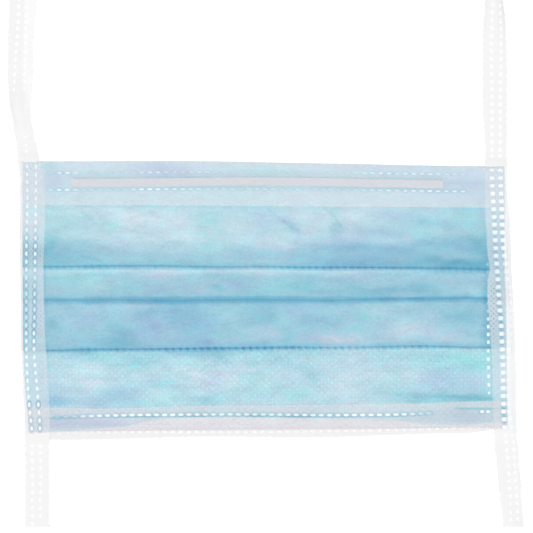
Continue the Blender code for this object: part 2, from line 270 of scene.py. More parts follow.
top_edge = along(TOP_EDGE)
bottom_edge = along(BOTTOM_EDGE)
top_hem_edge = along(TOP_HEM_EDGE)
bottom_hem_edge = along(BOTTOM_HEM_EDGE)
lining_edge = along(LINING_EDGE)
blue_edge = along(BLUE_EDGE)
wire_line = along(WIRE_LINE)
left_body_edge = along(LEFT_BODY_EDGE)
right_body_edge = along(RIGHT_BODY_EDGE)
fold_lines = [along(pleat.line) for pleat in PLEATS]
left_inner = along([(row.y, row.inner) for row in LEFT_STRAP])
right_inner = along([(row.y, row.inner) for row in RIGHT_STRAP])


def hidden_fold(number, x):
    return fold_lines[number](x) - PLEATS[number].depth


def spread(x, y):
    """Moves a nominal x, from LEFT_PX to LEFT_PX + BODY_SPAN_PX, to between the body's own edges at y."""
    share = (x - LEFT_PX) / BODY_SPAN_PX
    left, right = left_body_edge(y), right_body_edge(y)
    return left + (right - left) * share


# Heights


def panel_height(panel, x, y):
    """Height of the underside of panel 0, 1, 2 or 3, counted from the top.

    A panel comes out from under the pleat above it, climbs onto the hidden fold of the next pleat, and ends
    two layers over the panel after it.
    """
    if panel == len(PLEATS):
        return np.zeros_like(y)
    fold = hidden_fold(panel, x)
    start = fold - RISE_PX if panel == 0 else hidden_fold(panel - 1, x)
    climbing = 2 * LAYER * smooth((y - start) / (fold - start))
    return np.where(y < fold, climbing, 2 * LAYER + panel_height(panel + 1, x, np.maximum(y, fold)))


def side_lift(x):
    """How high the straps' backs hold the body."""
    inward = np.minimum(x - LEFT_PX, LEFT_PX + BODY_SPAN_PX - x)
    return (STRIP_PLY + LIE) * smooth((FLAP_PX + SIDE_SINK_PX - inward) / SIDE_SINK_PX)


def lining_lift(x, y):
    """How high the lining's border and the turned-under hem hold the body."""
    top = bottom_edge(x) - LINING_TUCK / PIXEL
    hem_top = bottom_edge(x) - TURN_UNDER / PIXEL
    border = (HEM_PLY + LIE) * smooth((y - top + LINING_RISE_PX) / LINING_RISE_PX)
    return border + (HEM_PLY + LIE) * smooth((y - hem_top + HEM_RISE_PX) / HEM_RISE_PX)


WAVE_HIGH = 0.0005
# Low swells in which the whole mask stands off the surface, in shares of WAVE_HIGH
SWELLS = patches(
    (150, 300, 90, 60, 0.8), (380, 330, 80, 70, 1.0), (270, 230, 120, 35, 0.5), (110, 390, 60, 30, 0.6),
    (440, 250, 60, 40, 0.6), (300, 400, 110, 30, 0.5),
)


def swell(x, y):
    """How far the mask stands off the surface that it lies on."""
    return WAVE_HIGH * patched(SWELLS, x, y)


# Colours

# The cloth's, as they show in the photograph
SINGLE = (188, 221, 234)  # one blue layer
TRIPLE = (161, 206, 224)  # three, inside a pleat
# The lens's grey is the white plies' colour, partly darkened as painted shade
GREY_LENS = (224, 229, 240)  # the white plies past the blue one's end
WHITE_BACK = (236, 238, 241)
# Tones of the mottle, which also colour the painted shade beside the straps, along the top hem and in the
# creases: what each multiplies the linear colour by, at full strength
TONES = {
    "pale": (1.22, 1.08, 1.05),
    "pink": (1.22, 1.01, 1.02),
    "aqua": (0.80, 1.03, 0.97),
    "teal": (0.66, 0.84, 0.88),
    "blue": (0.70, 0.80, 0.93),
    "lilac": (1.00, 0.89, 0.99),
}
# The mottle: where the cloth takes each tone, from the top down. The blue blotches just left of the nose
# wire's end are painted shade.
BLOTCHES = {
    "pale": patches(
        (330, 172, 30, 6, 0.4), (72, 212, 16, 6, 0.4), (116, 212, 8, 8, 0.4), (300, 214, 10, 5, 0.4),
        (130, 216, 22, 9, 0.5), (168, 221, 24, 12, 1.0), (130, 224, 15, 10, 0.7), (237, 226, 16, 6, 0.7),
        (140, 236, 60, 4, 0.4), (184, 239, 14, 5, 0.6), (300, 240, 90, 5, 0.3), (120, 250, 60, 6, 0.35),
        (190, 252, 40, 5, 0.4), (276, 260, 16, 4, 0.4), (260, 261, 28, 4, 0.5), (130, 262, 34, 4, 0.2),
        (258, 272, 16, 4, 0.5), (160, 274, 20, 4, 0.3), (72, 276, 26, 6, 0.5), (95, 282, 34, 7, 0.3),
        (90, 284, 40, 8, 0.5), (200, 284, 60, 7, 0.2), (80, 286, 26, 6, 0.4), (474, 289, 10, 5, 1.1),
        (409, 305, 14, 4, 0.4), (145, 306, 20, 5, 0.4), (375, 310, 18, 9, 0.5), (410, 322, 20, 8, 0.3),
        (405, 328, 30, 8, 0.8), (468, 338, 18, 8, 0.5), (395, 339, 20, 6, 0.4), (345, 341, 34, 6, 0.8),
        (325, 361, 24, 6, 0.5), (87, 369, 14, 7, 0.7), (275, 370, 12, 8, 0.4), (187, 372, 14, 8, 1.0),
        (412, 374, 17, 6, 0.8), (473, 376, 14, 4, 0.6), (234, 381, 7, 8, 0.7), (268, 385, 14, 6, 0.4),
        (97, 386, 10, 6, 0.8), (345, 386, 8, 8, 0.7), (197, 391, 8, 4, 0.6), (158, 396, 11, 5, 0.7),
        (192, 400, 20, 4, 0.3),
    ),
    "pink": patches(
        (120, 170, 18, 5, 0.4), (360, 210, 12, 4, 0.5), (90, 211, 36, 6, 0.5), (330, 217, 30, 9, 0.6),
        (355, 218, 15, 8, 0.6), (310, 228, 18, 6, 0.4), (188, 231, 14, 8, 0.5), (352, 235, 10, 4, 0.6),
        (283, 246, 16, 5, 0.8), (222, 254, 8, 10, 0.4), (412, 260, 16, 5, 0.6), (276, 274, 16, 3, 0.7),
        (160, 276, 20, 6, 1.3), (359, 276, 14, 5, 0.7), (385, 281, 45, 5, 0.5), (455, 281, 14, 5, 0.5),
        (268, 284, 12, 5, 0.4), (52, 288, 8, 6, 0.5), (204, 289, 5, 3, 0.9), (370, 304, 8, 4, 0.5),
        (377, 312, 18, 9, 0.6), (228, 317, 8, 10, 0.6), (412, 325, 18, 8, 0.6), (168, 326, 12, 6, 0.5),
        (400, 330, 26, 7, 0.4), (251, 331, 10, 5, 0.5), (350, 333, 36, 7, 0.4), (270, 334, 12, 6, 0.7),
        (458, 334, 18, 6, 0.4), (440, 335, 13, 6, 0.6), (430, 339, 32, 6, 0.6), (338, 340, 20, 5, 1.1),
        (463, 353, 14, 4, 0.6), (390, 355, 18, 6, 0.3), (359, 356, 10, 4, 0.5), (345, 357, 14, 5, 0.3),
        (388, 377, 8, 4, 0.7),
    ),
    "aqua": patches(
        (50, 164, 10, 6, 1.2), (430, 168, 50, 4, 0.7), (265, 170, 36, 5, 0.9), (95, 172, 30, 8, 0.3),
        (60, 196, 20, 6, 0.4), (230, 197, 40, 5, 0.5), (250, 197, 40, 6, 0.3), (150, 198, 66, 5, 0.5),
        (332, 214, 4, 7, 0.7), (65, 216, 22, 10, 0.6), (208, 218, 9, 8, 0.6), (466, 218, 12, 9, 0.7),
        (423, 224, 20, 9, 0.6), (108, 226, 8, 6, 0.4), (62, 234, 14, 6, 0.5), (212, 246, 16, 8, 0.6),
        (240, 247, 16, 5, 0.5), (72, 280, 26, 8, 0.9), (120, 286, 18, 6, 0.5), (299, 288, 32, 7, 0.7),
        (365, 314, 8, 8, 0.7), (227, 319, 10, 14, 0.3), (356, 332, 7, 6, 0.5), (264, 356, 260, 8, 0.4),
        (101, 358, 20, 5, 0.6), (469, 359, 24, 9, 0.9), (137, 364, 15, 6, 0.7), (282, 368, 10, 6, 0.4),
        (475, 368, 14, 8, 0.6), (390, 376, 8, 8, 0.5), (161, 384, 14, 7, 0.6), (297, 395, 14, 6, 0.7),
        (200, 398, 40, 8, 0.4), (470, 410, 20, 3, 0.5), (250, 411, 60, 4, 0.3),
    ),
    "teal": patches(
        (50, 168, 10, 6, 0.5), (462, 209, 16, 4, 0.5), (293, 226, 6, 4, 0.6), (453, 226, 12, 8, 0.4),
        (475, 226, 12, 8, 0.4), (336, 228, 4, 8, 0.4), (341, 229, 6, 6, 0.3), (480, 242, 9, 9, 0.8),
        (48, 243, 7, 9, 1.0), (445, 243, 34, 8, 0.6), (480, 252, 10, 6, 0.5), (33, 253, 16, 11, 0.4),
        (65, 256, 28, 8, 0.6), (430, 259, 22, 5, 0.6), (469, 262, 24, 4, 1.2), (430, 264, 60, 5, 0.7),
        (311, 280, 10, 7, 0.4), (355, 283, 20, 6, 0.3), (416, 288, 12, 5, 0.5), (500, 288, 9, 10, 0.8),
        (218, 289, 7, 3, 0.6), (375, 292, 52, 4, 0.6), (468, 292, 7, 6, 0.4), (147, 315, 14, 4, 0.5),
        (269, 316, 8, 8, 0.4), (462, 317, 18, 10, 0.5), (258, 318, 12, 6, 0.5), (497, 322, 8, 26, 0.8),
        (53, 326, 8, 10, 0.5), (486, 328, 4, 14, 0.8), (186, 329, 10, 6, 0.3), (466, 331, 12, 4, 0.3),
        (121, 334, 16, 11, 0.7), (288, 338, 6, 6, 0.5), (115, 343, 34, 6, 0.5), (210, 353, 110, 3, 0.5),
        (436, 356, 10, 5, 0.5), (405, 358, 25, 5, 0.3), (220, 359, 15, 5, 0.5), (278, 364, 14, 6, 0.4),
        (309, 374, 10, 10, 0.35), (33, 376, 14, 24, 0.3), (450, 394, 45, 8, 0.5), (480, 398, 16, 4, 0.6),
        (445, 399, 45, 4, 0.5), (455, 400, 48, 3, 0.4), (205, 401, 10, 4, 0.6), (70, 402, 26, 4, 0.5),
        (458, 416, 34, 7, 0.9),
    ),
    "blue": patches(
        (495, 164, 10, 3, 1.2), (162, 169, 34, 5, 0.8), (165, 177, 34, 2.5, 0.8), (60, 180, 14, 6, 0.3),
        (55, 184, 14, 12, 0.6), (468, 185, 20, 9, 0.6), (450, 186, 30, 12, 0.5), (482, 205, 8, 14, 0.5),
        (425, 220, 34, 7, 0.4), (385, 233, 40, 5, 0.5), (345, 243, 28, 6, 0.7), (392, 250, 28, 8, 0.5),
        (345, 261, 52, 7, 0.6), (388, 291, 10, 5, 0.4), (182, 314, 16, 8, 0.6), (320, 322, 14, 8, 0.3),
        (180, 326, 36, 10, 0.25), (200, 342, 14, 6, 0.5), (255, 344, 16, 5, 0.5), (195, 353, 26, 4, 0.6),
        (75, 356, 14, 7, 0.4), (143, 361, 18, 5, 0.4), (452, 374, 36, 12, 0.4), (120, 392, 14, 6, 0.35),
        (53, 401, 12, 5, 0.8), (120, 402, 24, 5, 0.4), (470, 417, 26, 7, 0.5), (95, 421, 34, 5, 0.3),
        (105, 423, 24, 4, 0.7), (60, 424, 30, 7, 0.9),
    ),
    "lilac": patches(
        (162, 169, 34, 5, 0.8), (400, 170, 70, 4, 0.7), (472, 183, 14, 6, 0.4), (390, 211, 10, 5, 0.3),
        (390, 216, 14, 6, 0.4), (262, 218, 9, 6, 0.8), (285, 219, 8, 4, 0.9), (299, 232, 6, 4, 0.8),
        (121, 245, 10, 5, 0.6), (465, 246, 10, 5, 0.7), (244, 248, 24, 7, 0.5), (241, 285, 13, 5, 0.7),
        (158, 290, 12, 5, 0.7), (285, 306, 16, 4, 0.6), (302, 313, 14, 8, 0.6), (91, 319, 10, 5, 0.7),
        (205, 325, 10, 8, 0.9), (152, 326, 15, 12, 1.1), (309, 340, 9, 5, 0.6), (178, 341, 9, 5, 0.8),
        (205, 341, 11, 6, 0.6), (73, 342, 20, 6, 0.5), (215, 379, 10, 6, 0.5), (433, 381, 17, 7, 0.8),
        (140, 388, 18, 7, 0.5), (56, 390, 12, 10, 0.4), (264, 411, 240, 5, 0.5), (418, 415, 12, 4, 0.8),
        (105, 418, 32, 4, 0.9), (60, 424, 30, 7, 0.8),
    ),
}
Cloud = namedtuple("Cloud", "wide high seed tone strength")
# Uneven tones all over the blue ply, finer than the blotches
CLOUDS = (
    Cloud(40, 18, 11, "teal", 0.07), Cloud(40, 18, 21, "aqua", 0.14), Cloud(46, 16, 31, "lilac", 0.14),
    Cloud(20, 8, 41, "teal", 0.10), Cloud(22, 9, 51, "aqua", 0.18),
)
CLOUD_GAIN = ((155, 0.6), (262, 0.6), (285, 1.0), (350, 1.0), (360, 1.15), (440, 1.15))  # down the mask
BLOTCH_GAIN = 1.15
# How far the blotches' edges wander, and the noises that they follow, as wide, high and seed
RAGGED_ACROSS_PX = 4.0
RAGGED_DOWN_PX = 2.4
RAGGED_ACROSS = (26, 15, 1)
RAGGED_DOWN = (30, 12, 5)


def blotched(colour, x, y):
    """The colour with the mottle's blotches and clouds laid over it."""
    strength = np.zeros_like(colour)
    ragged_x = x + RAGGED_ACROSS_PX * clouds(x, y, *RAGGED_ACROSS)
    ragged_y = y + RAGGED_DOWN_PX * clouds(x, y, *RAGGED_DOWN)
    for tone, rows in BLOTCHES.items():
        strength += (BLOTCH_GAIN * patched(rows, ragged_x, ragged_y))[..., None] * np.log(TONES[tone])
    gain = along(CLOUD_GAIN)(y)
    for row in CLOUDS:
        amount = gain * row.strength * clouds(ragged_x, ragged_y, row.wide, row.high, row.seed)
        strength += amount[..., None] * np.log(TONES[row.tone])
    return colour * np.exp(strength)


FoldShade = namedtuple("FoldShade", "above below reach tone bead pitch beads wide deep")
# The painted shade line at each fold: pixels above and below the fold's edge where it is darkest, and over
# which it fades; what it multiplies by; where one of its beads is, and how far apart they are; and then, as
# (x, factor), how strong its beads are, how wide it is and how deep it is
FOLD_SHADES = (
    FoldShade(
        0.2, 0.6, 1.05, (0.43, 0.72, 0.84), 351.4, 7.0,
        (
            (24, 0.35), (70, 0.3), (110, 0.22), (210, 0.22), (260, 0.35), (305, 0.5), (360, 0.55), (410, 0.4),
            (505, 0.45),
        ),
        ((24, 1.1), (230, 1.1), (264, 1.0), (385, 1.1), (420, 1.5), (505, 1.8)),
        ((24, 0.95), (170, 0.95), (200, 0.85), (264, 0.8), (295, 1.15), (355, 1.1), (505, 1.0)),
    ),
    FoldShade(
        1.5, 2.4, 1.3, (0.50, 0.76, 0.87), 2.5, 7.0, ((24, 0.06), (505, 0.06)),
        ((24, 0.8), (60, 0.85), (110, 1.05), (355, 1.05), (385, 0.85), (505, 0.75)),
        (
            (24, 0.85), (110, 0.85), (170, 1.05), (200, 0.95), (325, 0.88), (355, 0.85), (385, 0.95),
            (505, 1.0),
        ),
    ),
    FoldShade(
        0.1, 0.9, 1.15, (0.34, 0.61, 0.79), 201.2, 7.04,
        ((24, 0.45), (110, 0.6), (200, 0.85), (250, 0.9), (310, 0.9), (355, 0.85), (420, 0.65), (505, 0.5)),
        (
            (24, 1.0), (70, 1.2), (85, 1.5), (110, 1.0), (230, 1.2), (264, 1.3), (310, 1.1), (385, 1.0),
            (505, 0.8),
        ),
        (
            (24, 0.7), (110, 0.8), (170, 0.95), (264, 0.92), (295, 0.82), (325, 0.6), (355, 0.4), (385, 0.6),
            (445, 0.8), (505, 0.5),
        ),
    ),
)
BEAD_GAPS = 0.4  # how much a line is lighter between its beads, for each unit that it is darker on them
# How much a line's beads, width and depth vary along it, and the noises that they follow
BEAD_LEVEL = 0.8
BEAD_VARIES = 0.6
WIDE_VARIES = 0.15
DEEP_VARIES = 0.16
BEAD_NOISE = (16, 60, 15)
WIDE_NOISE = (14, 60, 7)
DEEP_NOISE = (9, 60, 9)
# Painted shade softly above each fold, and painted light just under the upper fold
SOFT_ABOVE = 0.22  # how strongly the cloth darkens softly above each fold
SOFT_ABOVE_PX = 4.5
UNDER_STRAP = 0.35  # how much of a fold's dark line is left under the straps
STRAP_FADE = (-1.5, 2.5)  # where a line fades at a strap's edge, counted from it: the start and the length
UNDER_FOLD_LIGHT = 0.02  # how much lighter the cloth is just under the upper fold
UNDER_FOLD_PX = 4.0


def fold_shaded(colour, panel, x, y):
    """Darkens the cloth with painted shade along the fold at the panel's lower edge and under the fold at its
    upper edge, and lightens panel 1 with painted light just under the first fold.
    """
    strength = np.zeros_like(colour)
    clear = ramp(x - left_inner(y), *STRAP_FADE) * ramp(right_inner(y) - x, *STRAP_FADE)
    for number, side in ((panel, -1), (panel - 1, 1)):
        if not 0 <= number < len(PLEATS):
            continue
        shade = FOLD_SHADES[number]
        wide = along(shade.wide)(x) * (1 + WIDE_VARIES * lumps(x, y, *WIDE_NOISE))
        from_fold = (y - fold_lines[number](x)) * side
        even = (shade.below if side > 0 else shade.above) * wide
        weight = bell(np.maximum(from_fold - even, 0), shade.reach * wide) * along(shade.deep)(x)
        beads = np.cos(2 * math.pi * (x - shade.bead) / shade.pitch)
        beads = np.where(beads > 0, beads, BEAD_GAPS * beads)
        beads = beads * (BEAD_LEVEL + BEAD_VARIES * lumps(x, y, *BEAD_NOISE))
        weight = weight * (1 + along(shade.beads)(x) * beads)
        if side < 0:
            weight = np.maximum(weight, SOFT_ABOVE * bell(from_fold, SOFT_ABOVE_PX))
        weight = weight * (1 + DEEP_VARIES * lumps(x, y, *DEEP_NOISE))
        weight = weight * (UNDER_STRAP + (1 - UNDER_STRAP) * clear)
        strength += weight[..., None] * np.log(shade.tone)
    if panel == 1:
        from_fold = y - fold_lines[0](x)
        strength += (UNDER_FOLD_LIGHT * bell(from_fold - UNDER_FOLD_PX, UNDER_FOLD_PX))[..., None]
    return colour * np.exp(strength)


Crease = namedtuple("Crease", "x1 y1 x2 y2 tone strength")
# Fine creases and threads in panels 1 and 4, drawn as darker lines; in the creases the dark is painted shade
CREASES = (
    Crease(268, 210, 284, 221, "blue", 0.45), Crease(284, 221, 299, 232, "blue", 0.5),
    Crease(323, 206, 332, 214, "teal", 0.5), Crease(332, 214, 341, 227, "teal", 0.45),
    Crease(286, 241, 303, 241, "teal", 0.3), Crease(83, 213, 94, 222, "teal", 0.5),
    Crease(80, 256, 102, 261, "teal", 0.4), Crease(396, 394.5, 440, 395.5, "teal", 0.6),
    Crease(440, 395.5, 491, 398.5, "teal", 0.6), Crease(408, 401.5, 491, 399.5, "teal", 0.4),
)
CREASE_PX = 1.5


def creased(colour, x, y):
    """The colour with the fine creases and threads drawn on it, the creases' dark as painted shade."""
    strength = np.zeros_like(colour)
    for row in CREASES:
        run_x, run_y = row.x2 - row.x1, row.y2 - row.y1
        part = ((x - row.x1) * run_x + (y - row.y1) * run_y) / (run_x**2 + run_y**2)
        part = np.clip(part, 0, 1)
        away = np.hypot(x - row.x1 - part * run_x, y - row.y1 - part * run_y)
        strength += (row.strength * bell(away, CREASE_PX))[..., None] * np.log(TONES[row.tone])
    return colour * np.exp(strength)


PLEATED_EMBOSS = 0.12  # how strongly the embossed dots show above the last pleat
LayerEdge = namedtuple("LayerEdge", "wander above length")
# Where each panel darkens over the layers below it: how far its edge wanders, and then, as (x, pixels), how
# far above the hidden fold it starts and over what length it goes on
LAYER_EDGES = (
    LayerEdge(
        4.0,
        ((24, 2), (90, 1), (280, 2), (340, 4), (400, 3), (430, 8), (505, 9)),
        ((24, 8), (90, 14), (280, 19), (330, 11), (420, 12), (505, 12)),
    ),
    LayerEdge(1.5, ((24, 0), (505, 0)), ((24, 4), (505, 4))),
    LayerEdge(1.5, ((24, 9), (505, 9)), ((24, 3), (505, 3))),
)
LAYER_NOISE = (40, 40, 61)  # the noise that the edges follow
BLUE_END_PX = 1.5  # length over which the blue ply ends
# Painted shade: the grey lens darkens at the body's lower edge, and the blue along the top hem's cut edge
LENS_EDGE = Shade(0.07, 1.5, 1.8)  # the grey lens is darker at the body's lower edge
HEM_SHADE = Shade(0.22, 1.0, 1.1)  # the blue is darker along the top hem's cut edge
# Painted shade: the blue is darker beside the straps, most at one place down each
LEFT_SHADE = Shade(0.6, 0.8, 1.4)
LEFT_SHADE_DOWN = Shade(1.0, 300, 62)
RIGHT_SHADE = Shade(0.7, 1.0, 3.0)
RIGHT_SHADE_DOWN = Shade(1.0, 290, 52)


def body_tint(panel, x, y):
    """Albedo of the body's front, with painted shade along the folds, the top hem, the straps and the lens's
    lower edge, and how strongly the embossed dots show.
    """
    layers = np.zeros_like(y)
    if panel < len(PLEATS):
        edge = LAYER_EDGES[panel]
        wander = edge.wander * clouds(x, y, *LAYER_NOISE)
        layers = ramp(y + wander, hidden_fold(panel, x) - along(edge.above)(x), along(edge.length)(x))
    single, triple = linear(*SINGLE), linear(*TRIPLE)
    colour = single + (triple - single) * layers[..., None]
    colour = creased(blotched(colour, x, y), x, y)
    colour = fold_shaded(colour, panel, x, y)
    if panel == len(PLEATS):
        # the grey lens, with painted shade at the body's lower edge
        past = ramp(y, blue_edge(x), BLUE_END_PX)[..., None]
        lens = linear(*GREY_LENS) * (1 - shade_at(LENS_EDGE, bottom_edge(x) - y))[..., None]
        colour = colour + (lens - colour) * past
    # painted shade beside the straps and along the top hem's cut edge
    dark = shade_at(LEFT_SHADE, x - left_inner(y)) * shade_at(LEFT_SHADE_DOWN, y)
    dark = dark + shade_at(RIGHT_SHADE, right_inner(y) - x) * shade_at(RIGHT_SHADE_DOWN, y)
    if panel == 0:
        dark = dark + shade_at(HEM_SHADE, y - top_hem_edge(x))
    colour = colour * np.exp(dark[..., None] * np.log(TONES["teal"]))
    emboss = np.full(y.shape, 1.0 if panel == len(PLEATS) else PLEATED_EMBOSS)
    return colour / EXPOSURE, emboss


# Meshes


def smooth_mesh(name, points, faces):
    mesh = bpy.data.meshes.new(name)
    mesh.from_pydata(np.reshape(points, (-1, 3)).tolist(), [], faces)
    mesh.shade_smooth()
    return mesh


def linked(name, mesh, *materials):
    """A new object of the mesh, in the scene."""
    for made in materials:
        mesh.materials.append(made)
    piece = bpy.data.objects.new(name, mesh)
    bpy.context.scene.collection.objects.link(piece)
    return piece


def sheet_mesh(name, points, flip=False):
    """A mesh of equal rows of points, an array of rows x columns x 3."""
    rows, columns = points.shape[:2]
    index = np.arange(rows * columns).reshape(rows, columns)
    corners = [index[:-1, :-1], index[1:, :-1], index[1:, 1:], index[:-1, 1:]]
    if flip:
        corners.reverse()
    return smooth_mesh(name, points, np.stack(corners, axis=-1).reshape(-1, 4).tolist())


def colour_attribute(mesh, name, values):
    attribute = mesh.attributes.new(name, "FLOAT_COLOR", "POINT")
    rgba = np.ones((len(mesh.vertices), 4))
    rgba[:, :3] = values.reshape(-1, 3)
    attribute.data.foreach_set("color", rgba.ravel())


def number_attribute(mesh, name, values):
    attribute = mesh.attributes.new(name, "FLOAT", "POINT")
    attribute.data.foreach_set("value", np.asarray(values, float).ravel())


SHARP_FROM = math.radians(40)


def walled(name, mesh, wall, *materials):
    """An object of a sheet mesh, closed by a wall of even thickness, half to each side."""
    piece = linked(name, mesh, *materials)
    shell = piece.modifiers.new("wall", "SOLIDIFY")
    shell.thickness = wall
    shell.offset = 0.0
    shell.use_even_offset = True
    shell.material_offset = len(materials) - 1
    bpy.context.view_layer.update()
    evaluated = piece.evaluated_get(bpy.context.evaluated_depsgraph_get())
    closed = bpy.data.meshes.new_from_object(evaluated)
    piece.modifiers.clear()
    piece.data = closed
    closed.set_sharp_from_angle(angle=SHARP_FROM)
    return piece


def place(x, y, z):
    """World points of places in the photograph at these heights."""
    world_x, world_y = on_mask(x, y)
    return np.stack([world_x, world_y, z], axis=-1)


# Materials

EMBOSS_X = 0.1430 / PIXEL  # waves in a metre of the staggered rows of dots
EMBOSS_Y = 0.1520 / PIXEL
FIBRE_SCALE = 1400.0
CLOTH_ROUGH = 0.85
THIN_ROUGH = 0.8
# The blue ply's noises: waves in a metre, detail, stretch and shift
PLY_NOISES = {
    "mottle": (260.0, 3.0, (0.6, 1.3, 1.0)),
    "drift": (420.0, 2.0, (0.5, 1.4, 1.0), (0.3, 0.1, 0.0)),
    "flecks": (1000.0, 2.0, (0.9, 1.1, 1.0), (0.2, 0.6, 0.0)),
    "fibres": (FIBRE_SCALE, 3.0, (1.0, 1.1, 1.0)),
    "streaks": (800.0, 2.0, (0.35, 1.5, 1.0), (0.1, 0.4, 0.0)),
    "wear": (800.0, 1.0, (1.0, 1.0, 1.0), (0.7, 0.2, 0.0)),
}
# The tones that it takes where a noise is high, or low if the gain is below 0, and how its shade varies
PLY_TONES = (
    ("mottle", 2.2, "aqua"), ("drift", 1.6, "lilac"), ("flecks", 3.0, "aqua"), ("flecks", -2.0, "pink"),
)
PLY_SHADES = (("fibres", 0.26), ("streaks", 0.10), ("mottle", 0.30))
DOTS_SHADE = 0.08
GRAIN_SHADE = 0.14
WEAR_GAIN = 4.0
WEAR_MIDDLE = 0.2875
LATTICE_SHADE = 0.02  # how much the embossed dots change a white ply's shade
NET_TONE = (0.26, 0.42, 0.50)
NET_WAVES = 0.2 / PIXEL  # waves in a metre of the finer net under the straps
BUMP_DEPTH = 0.0002


class Finish:
    """A Principled material, with short calls for its nodes."""

    def __init__(self, name, roughness, specular=0.25):
        self.material = bpy.data.materials.new(name)
        self.material.use_nodes = True
        self.tree = self.material.node_tree
        self.shader = self.tree.nodes["Principled BSDF"]
        self.shader.inputs["Roughness"].default_value = roughness
        self.shader.inputs["Specular IOR Level"].default_value = specular
        self.place = self.node("ShaderNodeTexCoord").outputs["Object"]

    def node(self, kind, inputs=None, **settings):
        made = self.tree.nodes.new(kind)
        for key, value in settings.items():
            setattr(made, key, value)
        for key, value in (inputs or {}).items():
            if isinstance(value, bpy.types.NodeSocket):
                self.tree.links.new(value, made.inputs[key])
            else:
                made.inputs[key].default_value = value
        return made

    def math(self, operation, first, second=0.0, clamp=False):
        made = self.node("ShaderNodeMath", {0: first, 1: second}, operation=operation, use_clamp=clamp)
        return made.outputs[0]

    def excess(self, source, gain, middle=0.5, clamp=False):
        """How far a noise or pattern is above its middle, times the gain."""
        return self.math("MULTIPLY", self.math("SUBTRACT", source, middle), gain, clamp)

    def flat_colour(self, colour):
        made = self.node("ShaderNodeRGB").outputs[0]
        made.default_value = (*colour, 1.0)
        return made

    def attribute(self, name, output="Fac"):
        return self.node("ShaderNodeAttribute", attribute_name=name).outputs[output]

    def noise(self, scale, detail=2.0, stretch=(1, 1, 1), shift=(0, 0, 0)):
        """A noise from 0 to 1, about 0.5 on average; scale counts its waves in a metre."""
        mapped = self.node("ShaderNodeMapping", {"Vector": self.place, "Scale": stretch, "Location": shift})
        inputs = {"Vector": mapped.outputs[0], "Scale": scale, "Detail": detail}
        return self.node("ShaderNodeTexNoise", inputs).outputs["Fac"]

    def wave(self, along_x, along_y):
        """A cosine across the sheet, with its waves in a metre along x and y."""
        direction = (2 * math.pi * along_x, 2 * math.pi * along_y, 0.0)
        turn = self.node("ShaderNodeVectorMath", {0: self.place, 1: direction}, operation="DOT_PRODUCT")
        return self.math("COSINE", turn.outputs["Value"])

    def lattice(self):
        """The embossed dots, in staggered rows: 1 on them, 0 on average, and -0.5 at its lowest."""
        slanted = self.math("ADD", self.wave(EMBOSS_X, EMBOSS_Y), self.wave(EMBOSS_X, -EMBOSS_Y))
        straight = self.math("ADD", self.wave(2 * EMBOSS_X, 0), self.wave(0, 2 * EMBOSS_Y))
        return self.math("MULTIPLY", self.math("ADD", slanted, straight), 0.25)

    def scaled(self, colour, factor):
        made = self.node("ShaderNodeVectorMath", {0: colour, "Scale": factor}, operation="SCALE")
        return made.outputs["Vector"]

    def toned(self, colour, tone, amount):
        """The colour, multiplied by a tone as far as amount says."""
        inputs = {0: amount, 6: colour, 7: (*tone, 1.0)}
        return self.node("ShaderNodeMix", inputs, data_type="RGBA", blend_type="MULTIPLY").outputs[2]

    def bump(self, height, strength):
        made = self.node("ShaderNodeBump", {"Height": height, "Strength": strength, "Distance": BUMP_DEPTH})
        self.connect("Normal", made.outputs[0])

    def connect(self, name, socket):
        self.tree.links.new(socket, self.shader.inputs[name])


def shade_factor(finish, parts):
    """1, plus how far each part's noise or pattern is above its middle, times its strength."""
    total = 1.0
    for source, middle, strength in parts:
        total = finish.math("ADD", finish.excess(source, strength, middle), total)
    return total


def outer_ply():
    """The blue ply: its points' tint, which holds the painted shade, with finer mottle, fibres and worn
    embossed dots over it.
    """
    finish = Finish("outer_ply", CLOTH_ROUGH)
    noises = {name: finish.noise(*recipe) for name, recipe in PLY_NOISES.items()}
    colour = finish.attribute("tint", "Color")
    for name, gain, tone in PLY_TONES:
        colour = finish.toned(colour, TONES[tone], finish.excess(noises[name], gain, clamp=True))
    emboss = finish.attribute("emboss")
    worn = finish.excess(noises["wear"], WEAR_GAIN, WEAR_MIDDLE)
    dots = finish.math("MULTIPLY", finish.math("MULTIPLY", finish.lattice(), emboss), worn)
    grain = finish.excess(noises["fibres"], emboss)
    parts = [(noises[name], 0.5, strength) for name, strength in PLY_SHADES]
    parts += [(dots, 0.0, DOTS_SHADE), (grain, 0.0, GRAIN_SHADE)]
    finish.connect("Base Color", finish.scaled(colour, shade_factor(finish, parts)))
    finish.bump(finish.math("ADD", noises["fibres"], dots), strength=0.15)
    return finish.material


def plain_white(name, colour, fibre=0.12, covers=False):
    """The laminate's white back, or a weld, which covers as much as its points' cover says."""
    finish = Finish(name, CLOTH_ROUGH)
    fibres = finish.noise(FIBRE_SCALE, 3.0)
    factor = shade_factor(finish, [(fibres, 0.5, fibre), (finish.lattice(), 0.0, LATTICE_SHADE / 2)])
    finish.connect("Base Color", finish.scaled(finish.flat_colour(colour), factor))
    if covers:
        finish.connect("Alpha", finish.attribute("cover"))
    else:
        finish.bump(fibres, strength=0.2)
    return finish.material


NET_COVER = 0.4  # how much more a strap covers on a speck of its net


